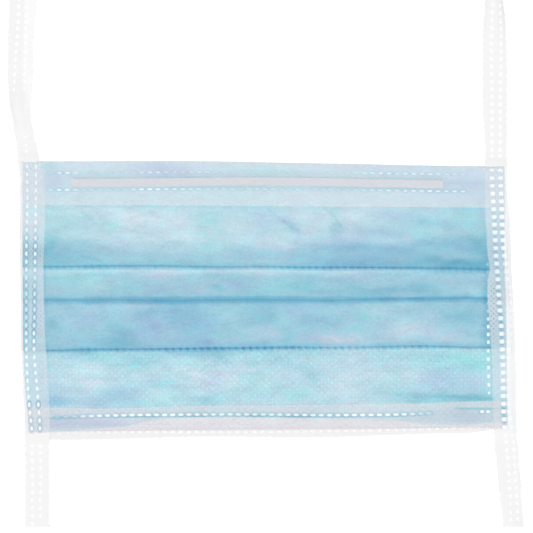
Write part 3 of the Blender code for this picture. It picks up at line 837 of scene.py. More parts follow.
def see_through(name, fibre, thin, relief=1.0, netted=False):
    """A thin white nonwoven, with its points' tint and with how much each face covers what is under it.

    Fibre and thin say how uneven its shade and its cover are, and relief how strongly its dots show. A netted
    one has dark specks where it lies on a dark ply.
    """
    finish = Finish(name, THIN_ROUGH)
    fibres = finish.noise(FIBRE_SCALE, 3.0, stretch=(0.7, 1.4, 1.0))
    lattice = finish.lattice()
    colour = finish.attribute("tint", "Color")
    cover = finish.attribute("cover")
    if netted:
        waves = finish.math("ADD", finish.wave(NET_WAVES, NET_WAVES), finish.wave(NET_WAVES, -NET_WAVES))
        specks = finish.excess(waves, finish.attribute("net"), clamp=True)
        colour = finish.toned(colour, NET_TONE, specks)
        cover = finish.math("ADD", cover, finish.math("MULTIPLY", specks, NET_COVER))
    factor = shade_factor(finish, [(fibres, 0.5, fibre), (lattice, 0.0, LATTICE_SHADE * relief)])
    finish.connect("Base Color", finish.scaled(colour, factor))
    cover = finish.math("MULTIPLY", cover, shade_factor(finish, [(fibres, 0.5, thin)]), clamp=True)
    finish.connect("Alpha", cover)
    finish.bump(finish.math("ADD", fibres, lattice), strength=0.08 * relief)
    return finish.material


WIRE_COLOUR = (198, 204, 209)


def wire_finish():
    finish = Finish("covered_wire", roughness=0.5, specular=0.4)
    grain = finish.noise(500.0, 2.0, stretch=(0.2, 1.0, 1.0))
    factor = shade_factor(finish, [(grain, 0.5, 0.08)])
    finish.connect("Base Color", finish.scaled(finish.flat_colour(shown(*WIRE_COLOUR)), factor))
    finish.bump(grain, strength=0.1)
    return finish.material


# The mask's body

CLOSER_ENDS = 0.6  # how much closer together the rows are there


def row_shares(count):
    """Shares from 0 to 1, closer together towards both ends."""
    share = np.linspace(0, 1, count)
    return share - CLOSER_ENDS * np.sin(2 * math.pi * share) / (2 * math.pi)


FOLD_STEPS = 8
HIDDEN_ROWS = 8
COLUMN_STEP_PX = 2.4
ROW_STEP_PX = 2.0


def body_rows(x):
    """The laminate's section at the columns x, from the top edge down, as rows of (panel, y, z)."""
    turn = (LAYER + LAMINATE) / 2 / PIXEL
    inset = (HEM_PLY + LIE) / PIXEL
    middle = LAMINATE / 2
    rows = []
    top = top_edge(x) + inset
    for panel in range(len(PLEATS) + 1):
        last = panel == len(PLEATS)
        low = bottom_edge(x) - inset if last else fold_lines[panel](x) - turn
        count = int(np.mean(low - top) / ROW_STEP_PX)
        for share in row_shares(count):
            y = top + (low - top) * share
            rows.append((panel, y, middle + panel_height(panel, x, y)))
        if last:
            break
        fold = hidden_fold(panel, x)
        for step in range(1, FOLD_STEPS):
            angle = math.radians(90 - 180 * step / FOLD_STEPS)
            y = low + LAYER / 2 / PIXEL * math.cos(angle)
            under = panel_height(panel + 1, x, y)
            rows.append((panel, y, middle + under + 1.5 * LAYER + LAYER / 2 * math.sin(angle)))
        for share in np.linspace(0, 1, HIDDEN_ROWS):
            y = low + (fold + turn - low) * share
            rows.append((panel, y, middle + LAYER + panel_height(panel + 1, x, y)))
        for step in range(1, FOLD_STEPS):
            angle = math.radians(90 + 180 * step / FOLD_STEPS)
            y = fold + turn + LAYER / 2 / PIXEL * math.cos(angle)
            under = panel_height(panel + 1, x, np.maximum(y, fold))
            rows.append((panel + 1, y, middle + under + 0.5 * LAYER + LAYER / 2 * math.sin(angle)))
        top = fold + turn
    return rows


def columns(first=LEFT_PX, last=LEFT_PX + BODY_SPAN_PX, step=COLUMN_STEP_PX):
    return np.linspace(first, last, int((last - first) / step) + 1)


def mask_body(front, back):
    x = columns()
    grid, tints, dots = [], [], []
    for panel, y, z in body_rows(x):
        at = spread(x, y)
        height = z + side_lift(x) + lining_lift(x, y) + swell(x, y)
        grid.append(place(at, y, height))
        tint, emboss = body_tint(panel, at, y)
        tints.append(tint)
        dots.append(emboss)
    mesh = sheet_mesh("mask_body", np.array(grid))
    colour_attribute(mesh, "tint", np.array(tints))
    number_attribute(mesh, "emboss", np.array(dots))
    return walled("mask_body", mesh, LAMINATE, front, back)


# The hems, the lining's border and the nose wire


def hump(x, y):
    """Height that the top hem gains over the wire."""
    across = np.abs(y - wire_line(x)) - WIRE_WIDE_PX / 2
    past = np.maximum(WIRE_ENDS[0] - x, x - WIRE_ENDS[1])
    return (WIRE_HIGH + LIE) * smooth(1 - across / HUMP_PX) * smooth(1 - past / HUMP_PX)


def across_cloth(name, rows, x, tint, cover, material, rises):
    """A ply of cloth across the mask, from rows of (y, z) over the columns x."""
    grid, tints, covers = [], [], []
    for y, z in rows:
        at = spread(x, y)
        grid.append(place(at, y, z + side_lift(x) + rises(x, y) + swell(x, y)))
        tints.append(tint(at, y))
        covers.append(cover(at, y))
    mesh = sheet_mesh(name, np.array(grid))
    colour_attribute(mesh, "tint", np.array(tints))
    number_attribute(mesh, "cover", np.array(covers))
    return walled(name, mesh, HEM_PLY, material)


def layer_cover(share):
    """How much one face of a closed sheet covers, so that its two faces cover this share."""
    return 1 - np.sqrt(1 - share)


HEM_COLOUR = (239, 240, 245)
HEM_COVER = 0.50
BOTTOM_HEM_COLOUR = (243, 236, 235)
BOTTOM_HEM_COVER = 0.44
LINING_COLOUR = (245, 243, 244)
# TEAL_LINE colours painted shade beside the nose wire, round the welds and below the bottom hem's weld dots,
# and the thin line at the seam's ends
TEAL_LINE = (0.52, 0.80, 0.86)  # what the thin teal lines in the hems multiply the hem's colour by
TOP_RINGS_DARK = 1.2  # how strongly the rings round the welds take that tone
BOTTOM_RINGS_DARK = 1.6
# The lines of painted shade below and above the nose wire, where the hem leaves it, and the one past its
# right end, and how they vary and fade
BELOW_WIRE = Shade(0.60, 0.9, 0.9)
ABOVE_WIRE = Shade(0.38, 1.0, 0.9)
PAST_WIRE = Shade(0.30, 1.5, 0.9)
WIRE_FADE_PX = 3
PAST_WIRE_FADE_PX = 4
WIRE_LINE_LEVEL = 0.75
WIRE_LINE_VARIES = 0.5
WIRE_NOISE = (24, 60, 71)
BELOW_LEAST = 0.4  # how strong the lower line still is at the left
BELOW_RISE = (140, 60)  # and where it gets to its full strength: the start and the length
# The bottom hem's thin seam line: at its left end, at its right end, and below its weld dots, where it is
# painted shade; where each part of it fades, as its start and length; and how it varies
SEAM_LEFT = Shade(0.5, 418.2, 0.9)
SEAM_RIGHT = Shade(0.7, 408.5, 1.0)
SEAM_DOTS = Shade(1.0, 1.6, 0.8)
SEAM_LEFT_FADE = (85, -12)
SEAM_RIGHT_FADE = (450, 12)
SEAM_DOTS_FADES = ((80, 30), (430, -40))
SEAM_LEVEL = 0.55
SEAM_VARIES = 0.7
SEAM_NOISE = (11, 60, 81)
SEAM_MIDDLE = Shade(0.4, 230, 70)
SEAM_DARK = 2.0  # how strongly it takes the teal line's tone
SEAM_COVER = 0.2  # how much more the hem covers on it
TOP_RIM = Shade(0.08, 0, 1.2)  # how much more the hems cover along their cut edges
BOTTOM_RIM = Shade(0.10, 0, 1.2)
# Painted shade on the lining's border under the body's edge
LINING_SHADE = Shade(0.05, 0, 1.6)  # the lining's border is darker under the body's edge
LINING_END = (-0.56, 1.6)  # and fades out at its own: the start and the length
TOP_HEM_ROWS = 54
BOTTOM_HEM_ROWS = 30
UNDER_HEM_ROWS = 5
LINING_ROWS = 30
CLOTH_STEP_PX = 1.3


def lined(colour, strength):
    """The colour, multiplied by the teal line's as far as strength says."""
    return shown(*colour) * np.exp(strength[..., None] * np.log(TEAL_LINE))


# Painted shade in the top hem: teal lines beside the nose wire and past its right end, and rings round the
# welds
def top_hem_tint(welds):
    def tint(x, y):
        from_wire = y - wire_line(x)
        half = WIRE_WIDE_PX / 2
        over_wire = ramp(x, WIRE_ENDS[0], WIRE_FADE_PX) * ramp(x, WIRE_ENDS[1], -WIRE_FADE_PX)
        patchy = (WIRE_LINE_LEVEL + WIRE_LINE_VARIES * lumps(x, y, *WIRE_NOISE)) * over_wire
        below = shade_at(BELOW_WIRE, from_wire - half)
        below = below * (BELOW_LEAST + (1 - BELOW_LEAST) * ramp(x, *BELOW_RISE))
        above = shade_at(ABOVE_WIRE, -from_wire - half)
        past = shade_at(PAST_WIRE, -from_wire) * ramp(x, WIRE_ENDS[1], PAST_WIRE_FADE_PX)
        rings = TOP_RINGS_DARK * ring_shade(welds, x, y)
        return lined(HEM_COLOUR, (below + above) * patchy + past + rings)

    return tint


# Painted shade in the bottom hem: rings round the welds and the seam's line below them
def bottom_hem_tint(welds):
    def tint(x, y):
        rings = BOTTOM_RINGS_DARK * ring_shade(welds, x, y)
        return lined(BOTTOM_HEM_COLOUR, SEAM_DARK * seam_line(x, y) + rings)

    return tint


def seam_line(x, y):
    """How strongly the thin teal line of the bottom hem's seam shows, painted shade below its weld dots."""
    left = shade_at(SEAM_LEFT, y) * ramp(x, *SEAM_LEFT_FADE)
    right = shade_at(SEAM_RIGHT, y) * ramp(x, *SEAM_RIGHT_FADE)
    dots = shade_at(SEAM_DOTS, y - bottom_seam(x))
    for fade in SEAM_DOTS_FADES:
        dots = dots * ramp(x, *fade)
    patchy = SEAM_LEVEL + SEAM_VARIES * lumps(x, y, *SEAM_NOISE) + shade_at(SEAM_MIDDLE, x)
    return left + right + dots * np.clip(patchy, 0, 1)


def top_hem_cover(x, y):
    """The hem covers a little more along its cut edge."""
    return layer_cover(HEM_COVER + shade_at(TOP_RIM, y - top_hem_edge(x)))


def bottom_hem_cover(x, y):
    rim = shade_at(BOTTOM_RIM, y - bottom_hem_edge(x))
    return layer_cover(BOTTOM_HEM_COVER + rim + SEAM_COVER * seam_line(x, y))


def lining_tint(x, y):
    """Near white, with a little painted shade close under the body's edge."""
    dark = shade_at(LINING_SHADE, y - bottom_edge(x))
    return shown(*LINING_COLOUR) * (1 - dark)[..., None]


def lining_cover(x, y):
    """The border covers all that is under it, and fades out at its lower edge."""
    return ramp(lining_edge(x) - y, *LINING_END)


def top_hem(material, welds):
    x = columns(step=CLOTH_STEP_PX)
    low, high = top_hem_edge(x), top_edge(x)
    flat = LAMINATE + LIE + HEM_PLY / 2
    radius = (LAMINATE + HEM_PLY) / 2 + LIE
    rows = []
    for share in np.linspace(1, 0, TOP_HEM_ROWS):
        y = high + radius / PIXEL + (low - high - radius / PIXEL) * share
        rows.append((y, flat + hump(x, y)))
    for step in range(1, FOLD_STEPS + 1):
        angle = math.radians(90 - 90 * step / FOLD_STEPS)
        y = high + (radius - radius * math.cos(angle)) / PIXEL
        rows.append((y, flat - radius + radius * math.sin(angle)))
    rows.append((high, HEM_PLY / 2 + 0 * x))
    rows.reverse()
    return across_cloth("top_hem_cloth", rows, x, top_hem_tint(welds), top_hem_cover, material, lining_lift)


def bottom_hem(material, welds):
    x = columns(step=CLOTH_STEP_PX)
    low, high = bottom_edge(x), bottom_hem_edge(x)
    flat = LAMINATE + LIE + HEM_PLY / 2
    radius = (LAMINATE + HEM_PLY) / 2 + LIE
    rows = []
    for share in np.linspace(0, 1, BOTTOM_HEM_ROWS):
        rows.append((high + (low - radius / PIXEL - high) * share, flat + 0 * x))
    for step in range(1, 2 * FOLD_STEPS):
        angle = math.radians(90 - 90 * step / FOLD_STEPS)
        y = low - radius / PIXEL + radius * math.cos(angle) / PIXEL
        rows.append((y, flat - radius + radius * math.sin(angle)))
    for share in np.linspace(0, 1, UNDER_HEM_ROWS):
        rows.append((low - radius / PIXEL - share * TURN_UNDER / PIXEL, -LIE - HEM_PLY / 2 + 0 * x))
    tint = bottom_hem_tint(welds)
    return across_cloth("bottom_hem_cloth", rows, x, tint, bottom_hem_cover, material, lining_lift)


def no_lift(x, y):
    return np.zeros_like(y)


def lining_border(material):
    x = columns()
    low, high = lining_edge(x), bottom_edge(x) - LINING_TUCK / PIXEL
    rows = [(high + (low - high) * share, HEM_PLY / 2 + 0 * x) for share in np.linspace(0, 1, LINING_ROWS)]
    return across_cloth("lining_border", rows, x, lining_tint, lining_cover, material, no_lift)


# Corners of the wire's section, in half widths and half heights
WIRE_SECTION = (
    (-1, -0.5), (-1, 0.5), (-0.95, 0.95), (0.95, 0.95), (1, 0.5), (1, -0.5), (0.95, -0.95), (-0.95, -0.95),
)
WIRE_SHARP_FROM = math.radians(25)


def nose_wire(material):
    """A flat wire with rounded edges, closed at both ends."""
    x = columns(*WIRE_ENDS)
    base = LAMINATE + LIE + WIRE_HIGH / 2 + side_lift(x) + swell(x, wire_line(x))
    rings = []
    for out, up in WIRE_SECTION:
        y = wire_line(x) - out * WIRE_WIDE_PX / 2
        rings.append(place(x, y, base + up * WIRE_HIGH / 2))
    count = len(x)
    index = np.arange(len(WIRE_SECTION) * count).reshape(len(WIRE_SECTION), count)
    around = np.roll(index, -1, axis=0)
    sides = np.stack([index[:, :-1], around[:, :-1], around[:, 1:], index[:, 1:]], axis=-1)
    faces = sides.reshape(-1, 4).tolist() + [index[::-1, 0].tolist(), index[:, -1].tolist()]
    mesh = smooth_mesh("nose_wire_strip", rings, faces)
    mesh.set_sharp_from_angle(angle=WIRE_SHARP_FROM)
    return linked("nose_wire_strip", mesh, material)


# The weld dots: rows down the straps and across the hems

Weld = namedtuple("Weld", "x y half_x half_y power strength ring")
Shape = namedtuple("Shape", "long wide power")
DotRow = namedtuple("DotRow", "line first last pitch shape shows rings uneven", defaults=(0.1,))
OVAL = Shape(4.6, 2.8, 0.85)
SQUARE = Shape(4.2, 4.9, 0.35)
LOW_SQUARE = Shape(3.4, 5.2, 0.45)
SOFT_SQUARE = Shape(4.5, 4.0, 0.8)
DASH = Shape(4.9, 2.0, 0.8)
LONG_OVAL = Shape(5.2, 2.7, 0.8)
SHORT_OVAL = Shape(4.8, 3.0, 0.85)
SMALL_SQUARE = Shape(3.7, 2.8, 0.5)
# The lines that the rows follow: down the straps as (y, x), across the hems as (x, y)
UPPER_LEFT_1 = ((-5, 19.1), (7, 18.8), (40, 17.5), (67, 15.8), (83, 15), (98, 14))
UPPER_LEFT_2 = ((-5, 26.7), (7, 26.5), (40, 25.5), (67, 24.5), (83, 23.5), (98, 23.5))
LEFT_1 = (
    (134, 25.5), (151, 26.5), (166, 27.1), (250, 26.8), (300, 26.6), (350, 26.6), (380, 27.5), (400, 29),
    (420, 31), (430, 32), (440, 32.2), (527, 32.2),
)
LEFT_2 = (
    (160, 36.2), (250, 35.6), (300, 35), (360, 34.7), (385, 37), (405, 38.5), (425, 40), (440, 40.4),
    (527, 40.5),
)
RIGHT_1 = (
    (-5, 493.4), (5, 493), (30, 492), (160, 492), (166, 491.8), (216, 494), (240, 495), (262, 496),
    (280, 497.5), (300, 498.6), (320, 500.6), (340, 501.6), (360, 502.6), (410, 503.5), (428, 504.6),
    (440, 505.8), (470, 508.5), (500, 510), (527, 510.9),
)
RIGHT_2 = (
    (-5, 499), (5, 499), (30, 500), (165, 500), (216, 501.8), (240, 502.6), (270, 505.6), (300, 509),
    (420, 510), (430, 512), (440, 513), (480, 515.5), (527, 517.4),
)
GHOST = ((262, 487.4), (330, 488), (410, 489))
TOP_1 = ((45, 173.1), (264, 172), (484, 174.9))
TOP_2 = ((45, 190), (264, 189), (484, 191.8))
BOTTOM = (
    (45, 418), (83, 416.2), (180, 414.6), (264, 414.4), (320, 415), (340, 415), (415, 413.8), (432, 413),
)
BORDER = ((50, 433), (150, 431.8), (264, 431.7), (400, 429.6), (490, 426.5))
bottom_seam = along(BOTTOM)
# How strongly rows show, and how dark the painted shade in the rings round their dots is, as (place along the
# row, strength)
TIE_SHOWS = ((-5, 1), (70, 0.9), (96, 0.4))
TIE_SHOWS_2 = ((-5, 0.9), (40, 0.7), (80, 0.5), (96, 0.1))
LEFT_SHOWS = (
    (164, 0.85), (215, 0.75), (236, 0.7), (262, 0.9), (275, 0.6), (300, 0.45), (320, 0.5), (338, 0.9),
    (350, 0.9), (440, 0.95),
)
LEFT_RINGS = (
    (164, 0.12), (225, 0.1), (238, 0.7), (262, 0.8), (272, 0.5), (290, 0.9), (330, 1), (343, 0.6),
    (352, 0.12), (400, 0.1), (404, 0.9), (412, 0.4), (424, 0.7), (432, 0.7), (440, 0),
)
LEFT_RINGS_2 = (
    (164, 0.1), (225, 0.1), (238, 0.7), (262, 0.7), (272, 0.4), (290, 0.9), (332, 1), (343, 0.7),
    (352, 0.1), (400, 0.1), (404, 1), (412, 0.3), (424, 0.8), (432, 0.8), (440, 0),
)
RIGHT_SHOWS = ((190, 1), (240, 0.9), (300, 0.85), (345, 1), (432, 1))
RIGHT_SHOWS_2 = ((190, 1), (240, 1), (275, 0.6), (432, 0.5))
RIGHT_RINGS = (
    (160, 0.15), (200, 0.25), (212, 0.5), (240, 0.7), (268, 0.8), (300, 0.9), (340, 0.8), (352, 0.3),
    (395, 0.3), (404, 0.8), (424, 0.9), (434, 0),
)
NO_RINGS = ((0, 0), (533, 0))
LOWER_SHOWS = ((440, 0.8), (524, 0.7))
STRAP_DOTS = {
    "left": (
        DotRow(UPPER_LEFT_1, -0.8, 96, 7.56, SOFT_SQUARE, TIE_SHOWS, NO_RINGS),
        DotRow(UPPER_LEFT_2, -0.7, 96, 7.52, SOFT_SQUARE, TIE_SHOWS_2, NO_RINGS),
        DotRow(LEFT_1, 136.4, 160, 7.9, OVAL, ((136, 0.4), (160, 0.7)), NO_RINGS),
        DotRow(LEFT_1, 166.4, 436, 7.94, OVAL, LEFT_SHOWS, LEFT_RINGS),
        DotRow(LEFT_2, 166.9, 436, 7.92, OVAL, LEFT_SHOWS, LEFT_RINGS_2),
        DotRow(LEFT_1, 444.8, 524, 7.9, SOFT_SQUARE, LOWER_SHOWS, NO_RINGS),
        DotRow(LEFT_2, 444.8, 524, 7.92, SOFT_SQUARE, LOWER_SHOWS, NO_RINGS),
    ),
    "right": (
        DotRow(RIGHT_1, -2.8, 79, 7.66, SOFT_SQUARE, ((-5, 0.8), (80, 1)), NO_RINGS),
        DotRow(RIGHT_1, 81.7, 160, 7.52, SOFT_SQUARE, ((80, 1), (160, 1)), NO_RINGS),
        DotRow(RIGHT_1, 170.3, 192, 7.78, LOW_SQUARE, ((170, 0.9), (185, 1)), RIGHT_RINGS),
        DotRow(RIGHT_1, 193.64, 432, 7.78, SQUARE, RIGHT_SHOWS, RIGHT_RINGS),
        DotRow(RIGHT_1, 434.4, 524, 7.78, SOFT_SQUARE, LOWER_SHOWS, NO_RINGS),
        DotRow(RIGHT_2, -1.5, 79, 7.56, SOFT_SQUARE, ((-5, 0.7), (80, 1)), NO_RINGS),
        DotRow(RIGHT_2, 82.3, 160, 7.46, SOFT_SQUARE, ((80, 1), (160, 1)), NO_RINGS),
        DotRow(RIGHT_2, 170.3, 192, 7.78, LOW_SQUARE, ((170, 0.9), (185, 1)), RIGHT_RINGS),
        DotRow(RIGHT_2, 193.64, 432, 7.78, SQUARE, RIGHT_SHOWS_2, RIGHT_RINGS),
        DotRow(RIGHT_2, 433.9, 524, 7.78, SOFT_SQUARE, LOWER_SHOWS, NO_RINGS),
    ),
}
GHOST_SHOWS = ((262, 0.3), (300, 0.3), (316, 0.6), (322, 1), (340, 1))
GHOST_DOTS = (
    DotRow(GHOST, 264.4, 340, 7.78, SMALL_SQUARE, GHOST_SHOWS, NO_RINGS),
    DotRow(GHOST, 342.1, 410, 8.52, SMALL_SQUARE, ((342, 1), (410, 1)), NO_RINGS),
)
TOP_SHOWS = (
    (50, 0), (56, 0.5), (78, 0.5), (86, 0.1), (134, 0.1), (140, 0.4), (168, 0.5), (176, 0.35), (200, 0.3),
    (215, 0.1), (350, 0.12), (368, 0.55), (400, 0.65), (440, 0.6), (462, 0.3),
)
TOP_SHOWS_2 = (
    (50, 0.3), (58, 0.85), (78, 0.6), (86, 0.2), (110, 0.2), (126, 0.2), (132, 0.55), (192, 0.5),
    (205, 0.3), (240, 0.25), (300, 0.15), (372, 0.3), (388, 0.6), (410, 0.75), (460, 0.75), (470, 0.4),
)
HEM_DOTS = (
    DotRow(TOP_1, 51.2, 466, 8.235, DASH, TOP_SHOWS, ((50, 0.4), (466, 0.4)), 0.5),
    DotRow(TOP_2, 51.0, 470, 8.235, DASH, TOP_SHOWS_2, ((50, 0.6), (470, 0.6)), 0.5),
)
BOTTOM_RINGS = ((50, 0.9), (84, 0.6), (130, 0.5), (200, 0.8), (300, 0.9), (432, 0.7))
BOTTOM_SHOWS = ((205, 0.9), (300, 0.85), (330, 1), (408, 1), (418, 0.4), (430, 0.2))
BOTTOM_END = ((480, 411.5), (490, 411.5))
BOTTOM_DOTS = (
    DotRow(BOTTOM, 57.2, 80, 8.8, DASH, ((50, 0.12), (76, 0.2)), BOTTOM_RINGS),
    DotRow(BOTTOM, 83.3, 203, 8.13, LONG_OVAL, ((80, 0.7), (100, 1), (203, 1)), BOTTOM_RINGS, 0.3),
    DotRow(BOTTOM, 205.2, 436, 8.29, LONG_OVAL, BOTTOM_SHOWS, BOTTOM_RINGS, 0.35),
    DotRow(BOTTOM_END, 482, 489, 6.0, SMALL_SQUARE, ((482, 1), (489, 1)), ((480, 0.6), (490, 0.6))),
)
BORDER_DOTS = (
    DotRow(BORDER, 59.1, 200, 8.1, SHORT_OVAL, ((54, 0.3), (100, 0.4), (180, 0.8), (200, 0.7)), NO_RINGS),
    DotRow(BORDER, 204.2, 350, 8.34, SHORT_OVAL, ((204, 0.5), (350, 0.4)), NO_RINGS),
    DotRow(BORDER, 354.4, 488, 8.28, SHORT_OVAL, ((354, 0.4), (488, 0.7)), NO_RINGS),
)


UNEVEN_NOISE = (5, 60, 91)  # the noise that the welds' strengths follow


def spots(rows, down):
    """The welds of some rows, which run down the photograph or across it."""
    made = []
    for row in rows:
        line, shows, rings = along(row.line), along(row.shows), along(row.rings)
        for at in np.arange(row.first, row.last, row.pitch):
            other = float(line(at))
            x, y = (other, at) if down else (at, other)
            half_x, half_y = row.shape.long / 2, row.shape.wide / 2
            if down:
                half_x, half_y = half_y, half_x
            unevenness = 0.5 + 0.5 * float(lumps(x, y, *UNEVEN_NOISE))
            varied = float(shows(at)) * (1 - row.uneven * unevenness)
            strength, ring = float(np.clip(varied, 0, 1)), float(np.clip(rings(at), 0, 1))
            made.append(Weld(x, y, half_x, half_y, row.shape.power, strength, ring))
    return made


RING_AT = 1.55  # the ring's distance from a weld's middle, in the weld's half widths
RING_WIDE = 0.38
ROUND_FROM = 0.5  # a squarer weld is ringed only above and below


def ring_shade(welds, x, y):
    """How strongly the painted shade in the thin pressed ring round a weld shows at each place."""
    strength = np.zeros(np.broadcast(x, y).shape)
    for weld in welds:
        across, down = (x - weld.x) / weld.half_x, (y - weld.y) / weld.half_y
        distance = np.hypot(across, down)
        ring = bell(distance - RING_AT, RING_WIDE)
        if weld.power < ROUND_FROM:
            ring = ring * (down / np.maximum(distance, 0.1)) ** 2
        strength = np.maximum(strength, weld.ring * ring)
    return strength


DIMPLE = 0.00005
DIMPLE_LEAST = 0.4  # how deep a weld that doesn't show still is, as a share
DIMPLE_REACH = 1.5  # in the weld's half widths


def dimpled(welds, x, y):
    """How far the welds press a surface down at each place."""
    dents = []
    for weld in welds:
        deep = DIMPLE * (DIMPLE_LEAST + (1 - DIMPLE_LEAST) * weld.strength)
        dents.append((weld.x, weld.y, DIMPLE_REACH * weld.half_x, DIMPLE_REACH * weld.half_y, deep))
    return patched(patches(*dents), x, y)


PAD_SIDES = 16
PAD_HIGH = 0.00004
PAD_ALBEDO = (0.81, 0.83, 0.84)
PAD_RIM = 0.35  # how much of a pad's cover is left at its rim
PAD_COVER = 0.96
PAD_RINGS = ((1.05, 0.0), (0.65, 0.8))  # size and height of each ring, in half widths and in PAD_HIGH


def rounded(angle, power):
    """A place on the rim of a rounded square of half width 1; a power of 1 makes it a circle."""
    across, down = math.cos(angle), math.sin(angle)
    return math.copysign(abs(across) ** power, across), math.copysign(abs(down) ** power, down)


def weld_pads(name, welds, height, material):
    """Small white pads at the welds, each a low closed lens, joined in one mesh."""
    points, faces, covers = [], [], []
    for weld in welds:
        first = len(points)
        base = float(height(weld.x, weld.y))
        for ring, up in PAD_RINGS:
            for step in range(PAD_SIDES):
                across, down = rounded(2 * math.pi * step / PAD_SIDES, weld.power)
                x, y = weld.x + across * weld.half_x * ring, weld.y + down * weld.half_y * ring
                points.append(place(x, y, base + PAD_HIGH * up))
        points.append(place(weld.x, weld.y, base + PAD_HIGH))
        points.append(place(weld.x, weld.y, base - PAD_HIGH))
        rim = [first + step for step in range(PAD_SIDES)]
        inner = [first + PAD_SIDES + step for step in range(PAD_SIDES)]
        top, bottom = first + 2 * PAD_SIDES, first + 2 * PAD_SIDES + 1
        for step in range(PAD_SIDES):
            after = (step + 1) % PAD_SIDES
            faces.append((rim[after], rim[step], inner[step], inner[after]))
            faces.append((inner[after], inner[step], top))
            faces.append((rim[step], rim[after], bottom))
        cover = layer_cover(PAD_COVER * weld.strength)
        covers += [PAD_RIM * cover] * PAD_SIDES + [cover] * (PAD_SIDES + 2)
    mesh = smooth_mesh(name, points, faces)
    mesh.set_sharp_from_angle(angle=SHARP_FROM)
    number_attribute(mesh, "cover", covers)
    return linked(name, mesh, material)


# The straps


def stack_top(side_x, y):
    """Height of the top of what a strap's front lies on, down the line x = side_x."""
    x = np.full_like(y, side_x)
    panel = sum((y > line(x)).astype(int) for line in fold_lines)
    height = np.zeros_like(y)
    for number in range(len(PLEATS) + 1):
        height = np.where(panel == number, panel_height(number, x, y), height)
    height = height + LAMINATE + side_lift(x) + lining_lift(x, y)
    hem = (y < top_hem_edge(x)) | (y > bottom_hem_edge(x))
    height = height + np.where(hem, HEM_PLY + LIE, 0)
    inside = (y > top_edge(x)) & (y < lining_edge(x))
    return np.where(inside, height, STRIP_PLY)


LEFT_STACK_X = 36.0  # the lines down which the straps' heights are taken
RIGHT_STACK_X = 497.0
STRAP_ROW_PX = 0.9
CLOSING_PX = 7.0  # how far past a step a strap's front starts to come down
FINE_PX = 0.5
BEYOND_PX = 20  # how far past the strap's ends the heights are taken


def flap_heights(side_x, y):
    """The strap's front over the stack: it stays above what it covers, and comes down softly past a step."""
    fine = np.arange(y[0] - BEYOND_PX, y[-1] + BEYOND_PX, FINE_PX)
    top = stack_top(side_x, fine)
    reach = int(CLOSING_PX / FINE_PX)
    padded = np.pad(top, reach, mode="edge")
    highest = np.max([padded[shift : shift + len(top)] for shift in range(2 * reach + 1)], axis=0)
    kernel = np.hanning(2 * reach + 1)
    kernel /= kernel.sum()
    softened = np.convolve(np.pad(highest, reach, mode="edge"), kernel, mode="valid")
    return np.interp(y, fine, softened) + LIE + STRIP_PLY / 2


BACK_STEPS = 7
BEND_STEPS = 7
FLAP_STEPS = 36
MARGIN_PX = 5.0  # width over which the flap comes down to the fold outside the body
EDGE_RISE = 0.45  # how far the fold outside the body rises with the front, as a share
FLAT_BEND = 1e-4  # a strap that is arched by less than twice this angle counts as flat


def strap(name, rows, side, stack_x, welds, looks, material):
    """A strap folded lengthwise: its back, the fold at its outer edge, and its front over the mask's edge."""
    y = np.arange(rows[0].y, rows[-1].y + 0.01, STRAP_ROW_PX)
    outer = along([(row.y, row.outer) for row in rows])(y)
    inner = along([(row.y, row.inner) for row in rows])(y)
    curl = np.radians(np.maximum(along([(row.y, row.curl) for row in rows])(y), 0))
    front = flap_heights(stack_x, y)
    back = STRIP_PLY / 2
    low_front = STRIP_PLY * 1.5 + 2 * LIE
    edge = np.minimum(front, low_front + EDGE_RISE * (front - low_front))
    radius = (edge - back) / 2 / PIXEL
    columns_at, columns_z = [], []
    fold = outer - side * radius
    for share in np.linspace(0, 1, BACK_STEPS):
        columns_at.append(inner + (fold - inner) * share)
        columns_z.append(np.full_like(y, back))
    for step in range(1, BEND_STEPS):
        angle = math.radians(-90 + 180 * step / BEND_STEPS)
        columns_at.append(fold + side * radius * math.cos(angle))
        columns_z.append((back + edge) / 2 + (edge - back) / 2 * math.sin(angle))
    for share in np.linspace(0, 1, FLAP_STEPS):
        at = fold + (inner - fold) * share
        rise = smooth(np.abs(at - fold) / MARGIN_PX)
        columns_at.append(at)
        columns_z.append(edge + (front - edge) * rise)
    at = np.array(columns_at).T
    z = np.array(columns_z).T
    down = np.broadcast_to(y[:, None], at.shape)
    on_front = np.arange(at.shape[1]) >= BACK_STEPS + BEND_STEPS - 1
    z = z - dimpled(welds, at, down) * on_front
    centre = ((outer + inner) / 2)[:, None]
    chord = np.abs(outer - inner)[:, None]
    bend = np.maximum(curl[:, None], FLAT_BEND)
    hoop = chord / (2 * np.sin(bend))
    angle = 2 * bend * (at - centre) / chord
    lifted = hoop * PIXEL + z
    arched_at = centre + lifted / PIXEL * np.sin(angle)
    arched_z = lifted * np.cos(angle) - hoop * PIXEL * np.cos(bend)
    curled = bend > 2 * FLAT_BEND
    at_final = np.where(curled, arched_at, at)
    z_final = np.where(curled, arched_z, z)
    z_final = z_final + swell(at_final, down)
    mesh = sheet_mesh(name, place(at_final, down, z_final), flip=side > 0)
    made = looks(at, down, on_front, welds)
    colour_attribute(mesh, "tint", made.tint)
    number_attribute(mesh, "cover", made.cover)
    number_attribute(mesh, "net", made.net)
    piece = walled(name, mesh, STRIP_PLY, material)

    def height(x, at_y):
        """Height of the strap's front at a place, under its welds."""
        row = int(np.argmin(np.abs(y - at_y)))
        line = at_final[row, on_front]
        order = np.argsort(line)
        return np.interp(x, line[order], z_final[row, on_front][order]) + STRIP_PLY / 2

    return piece, height


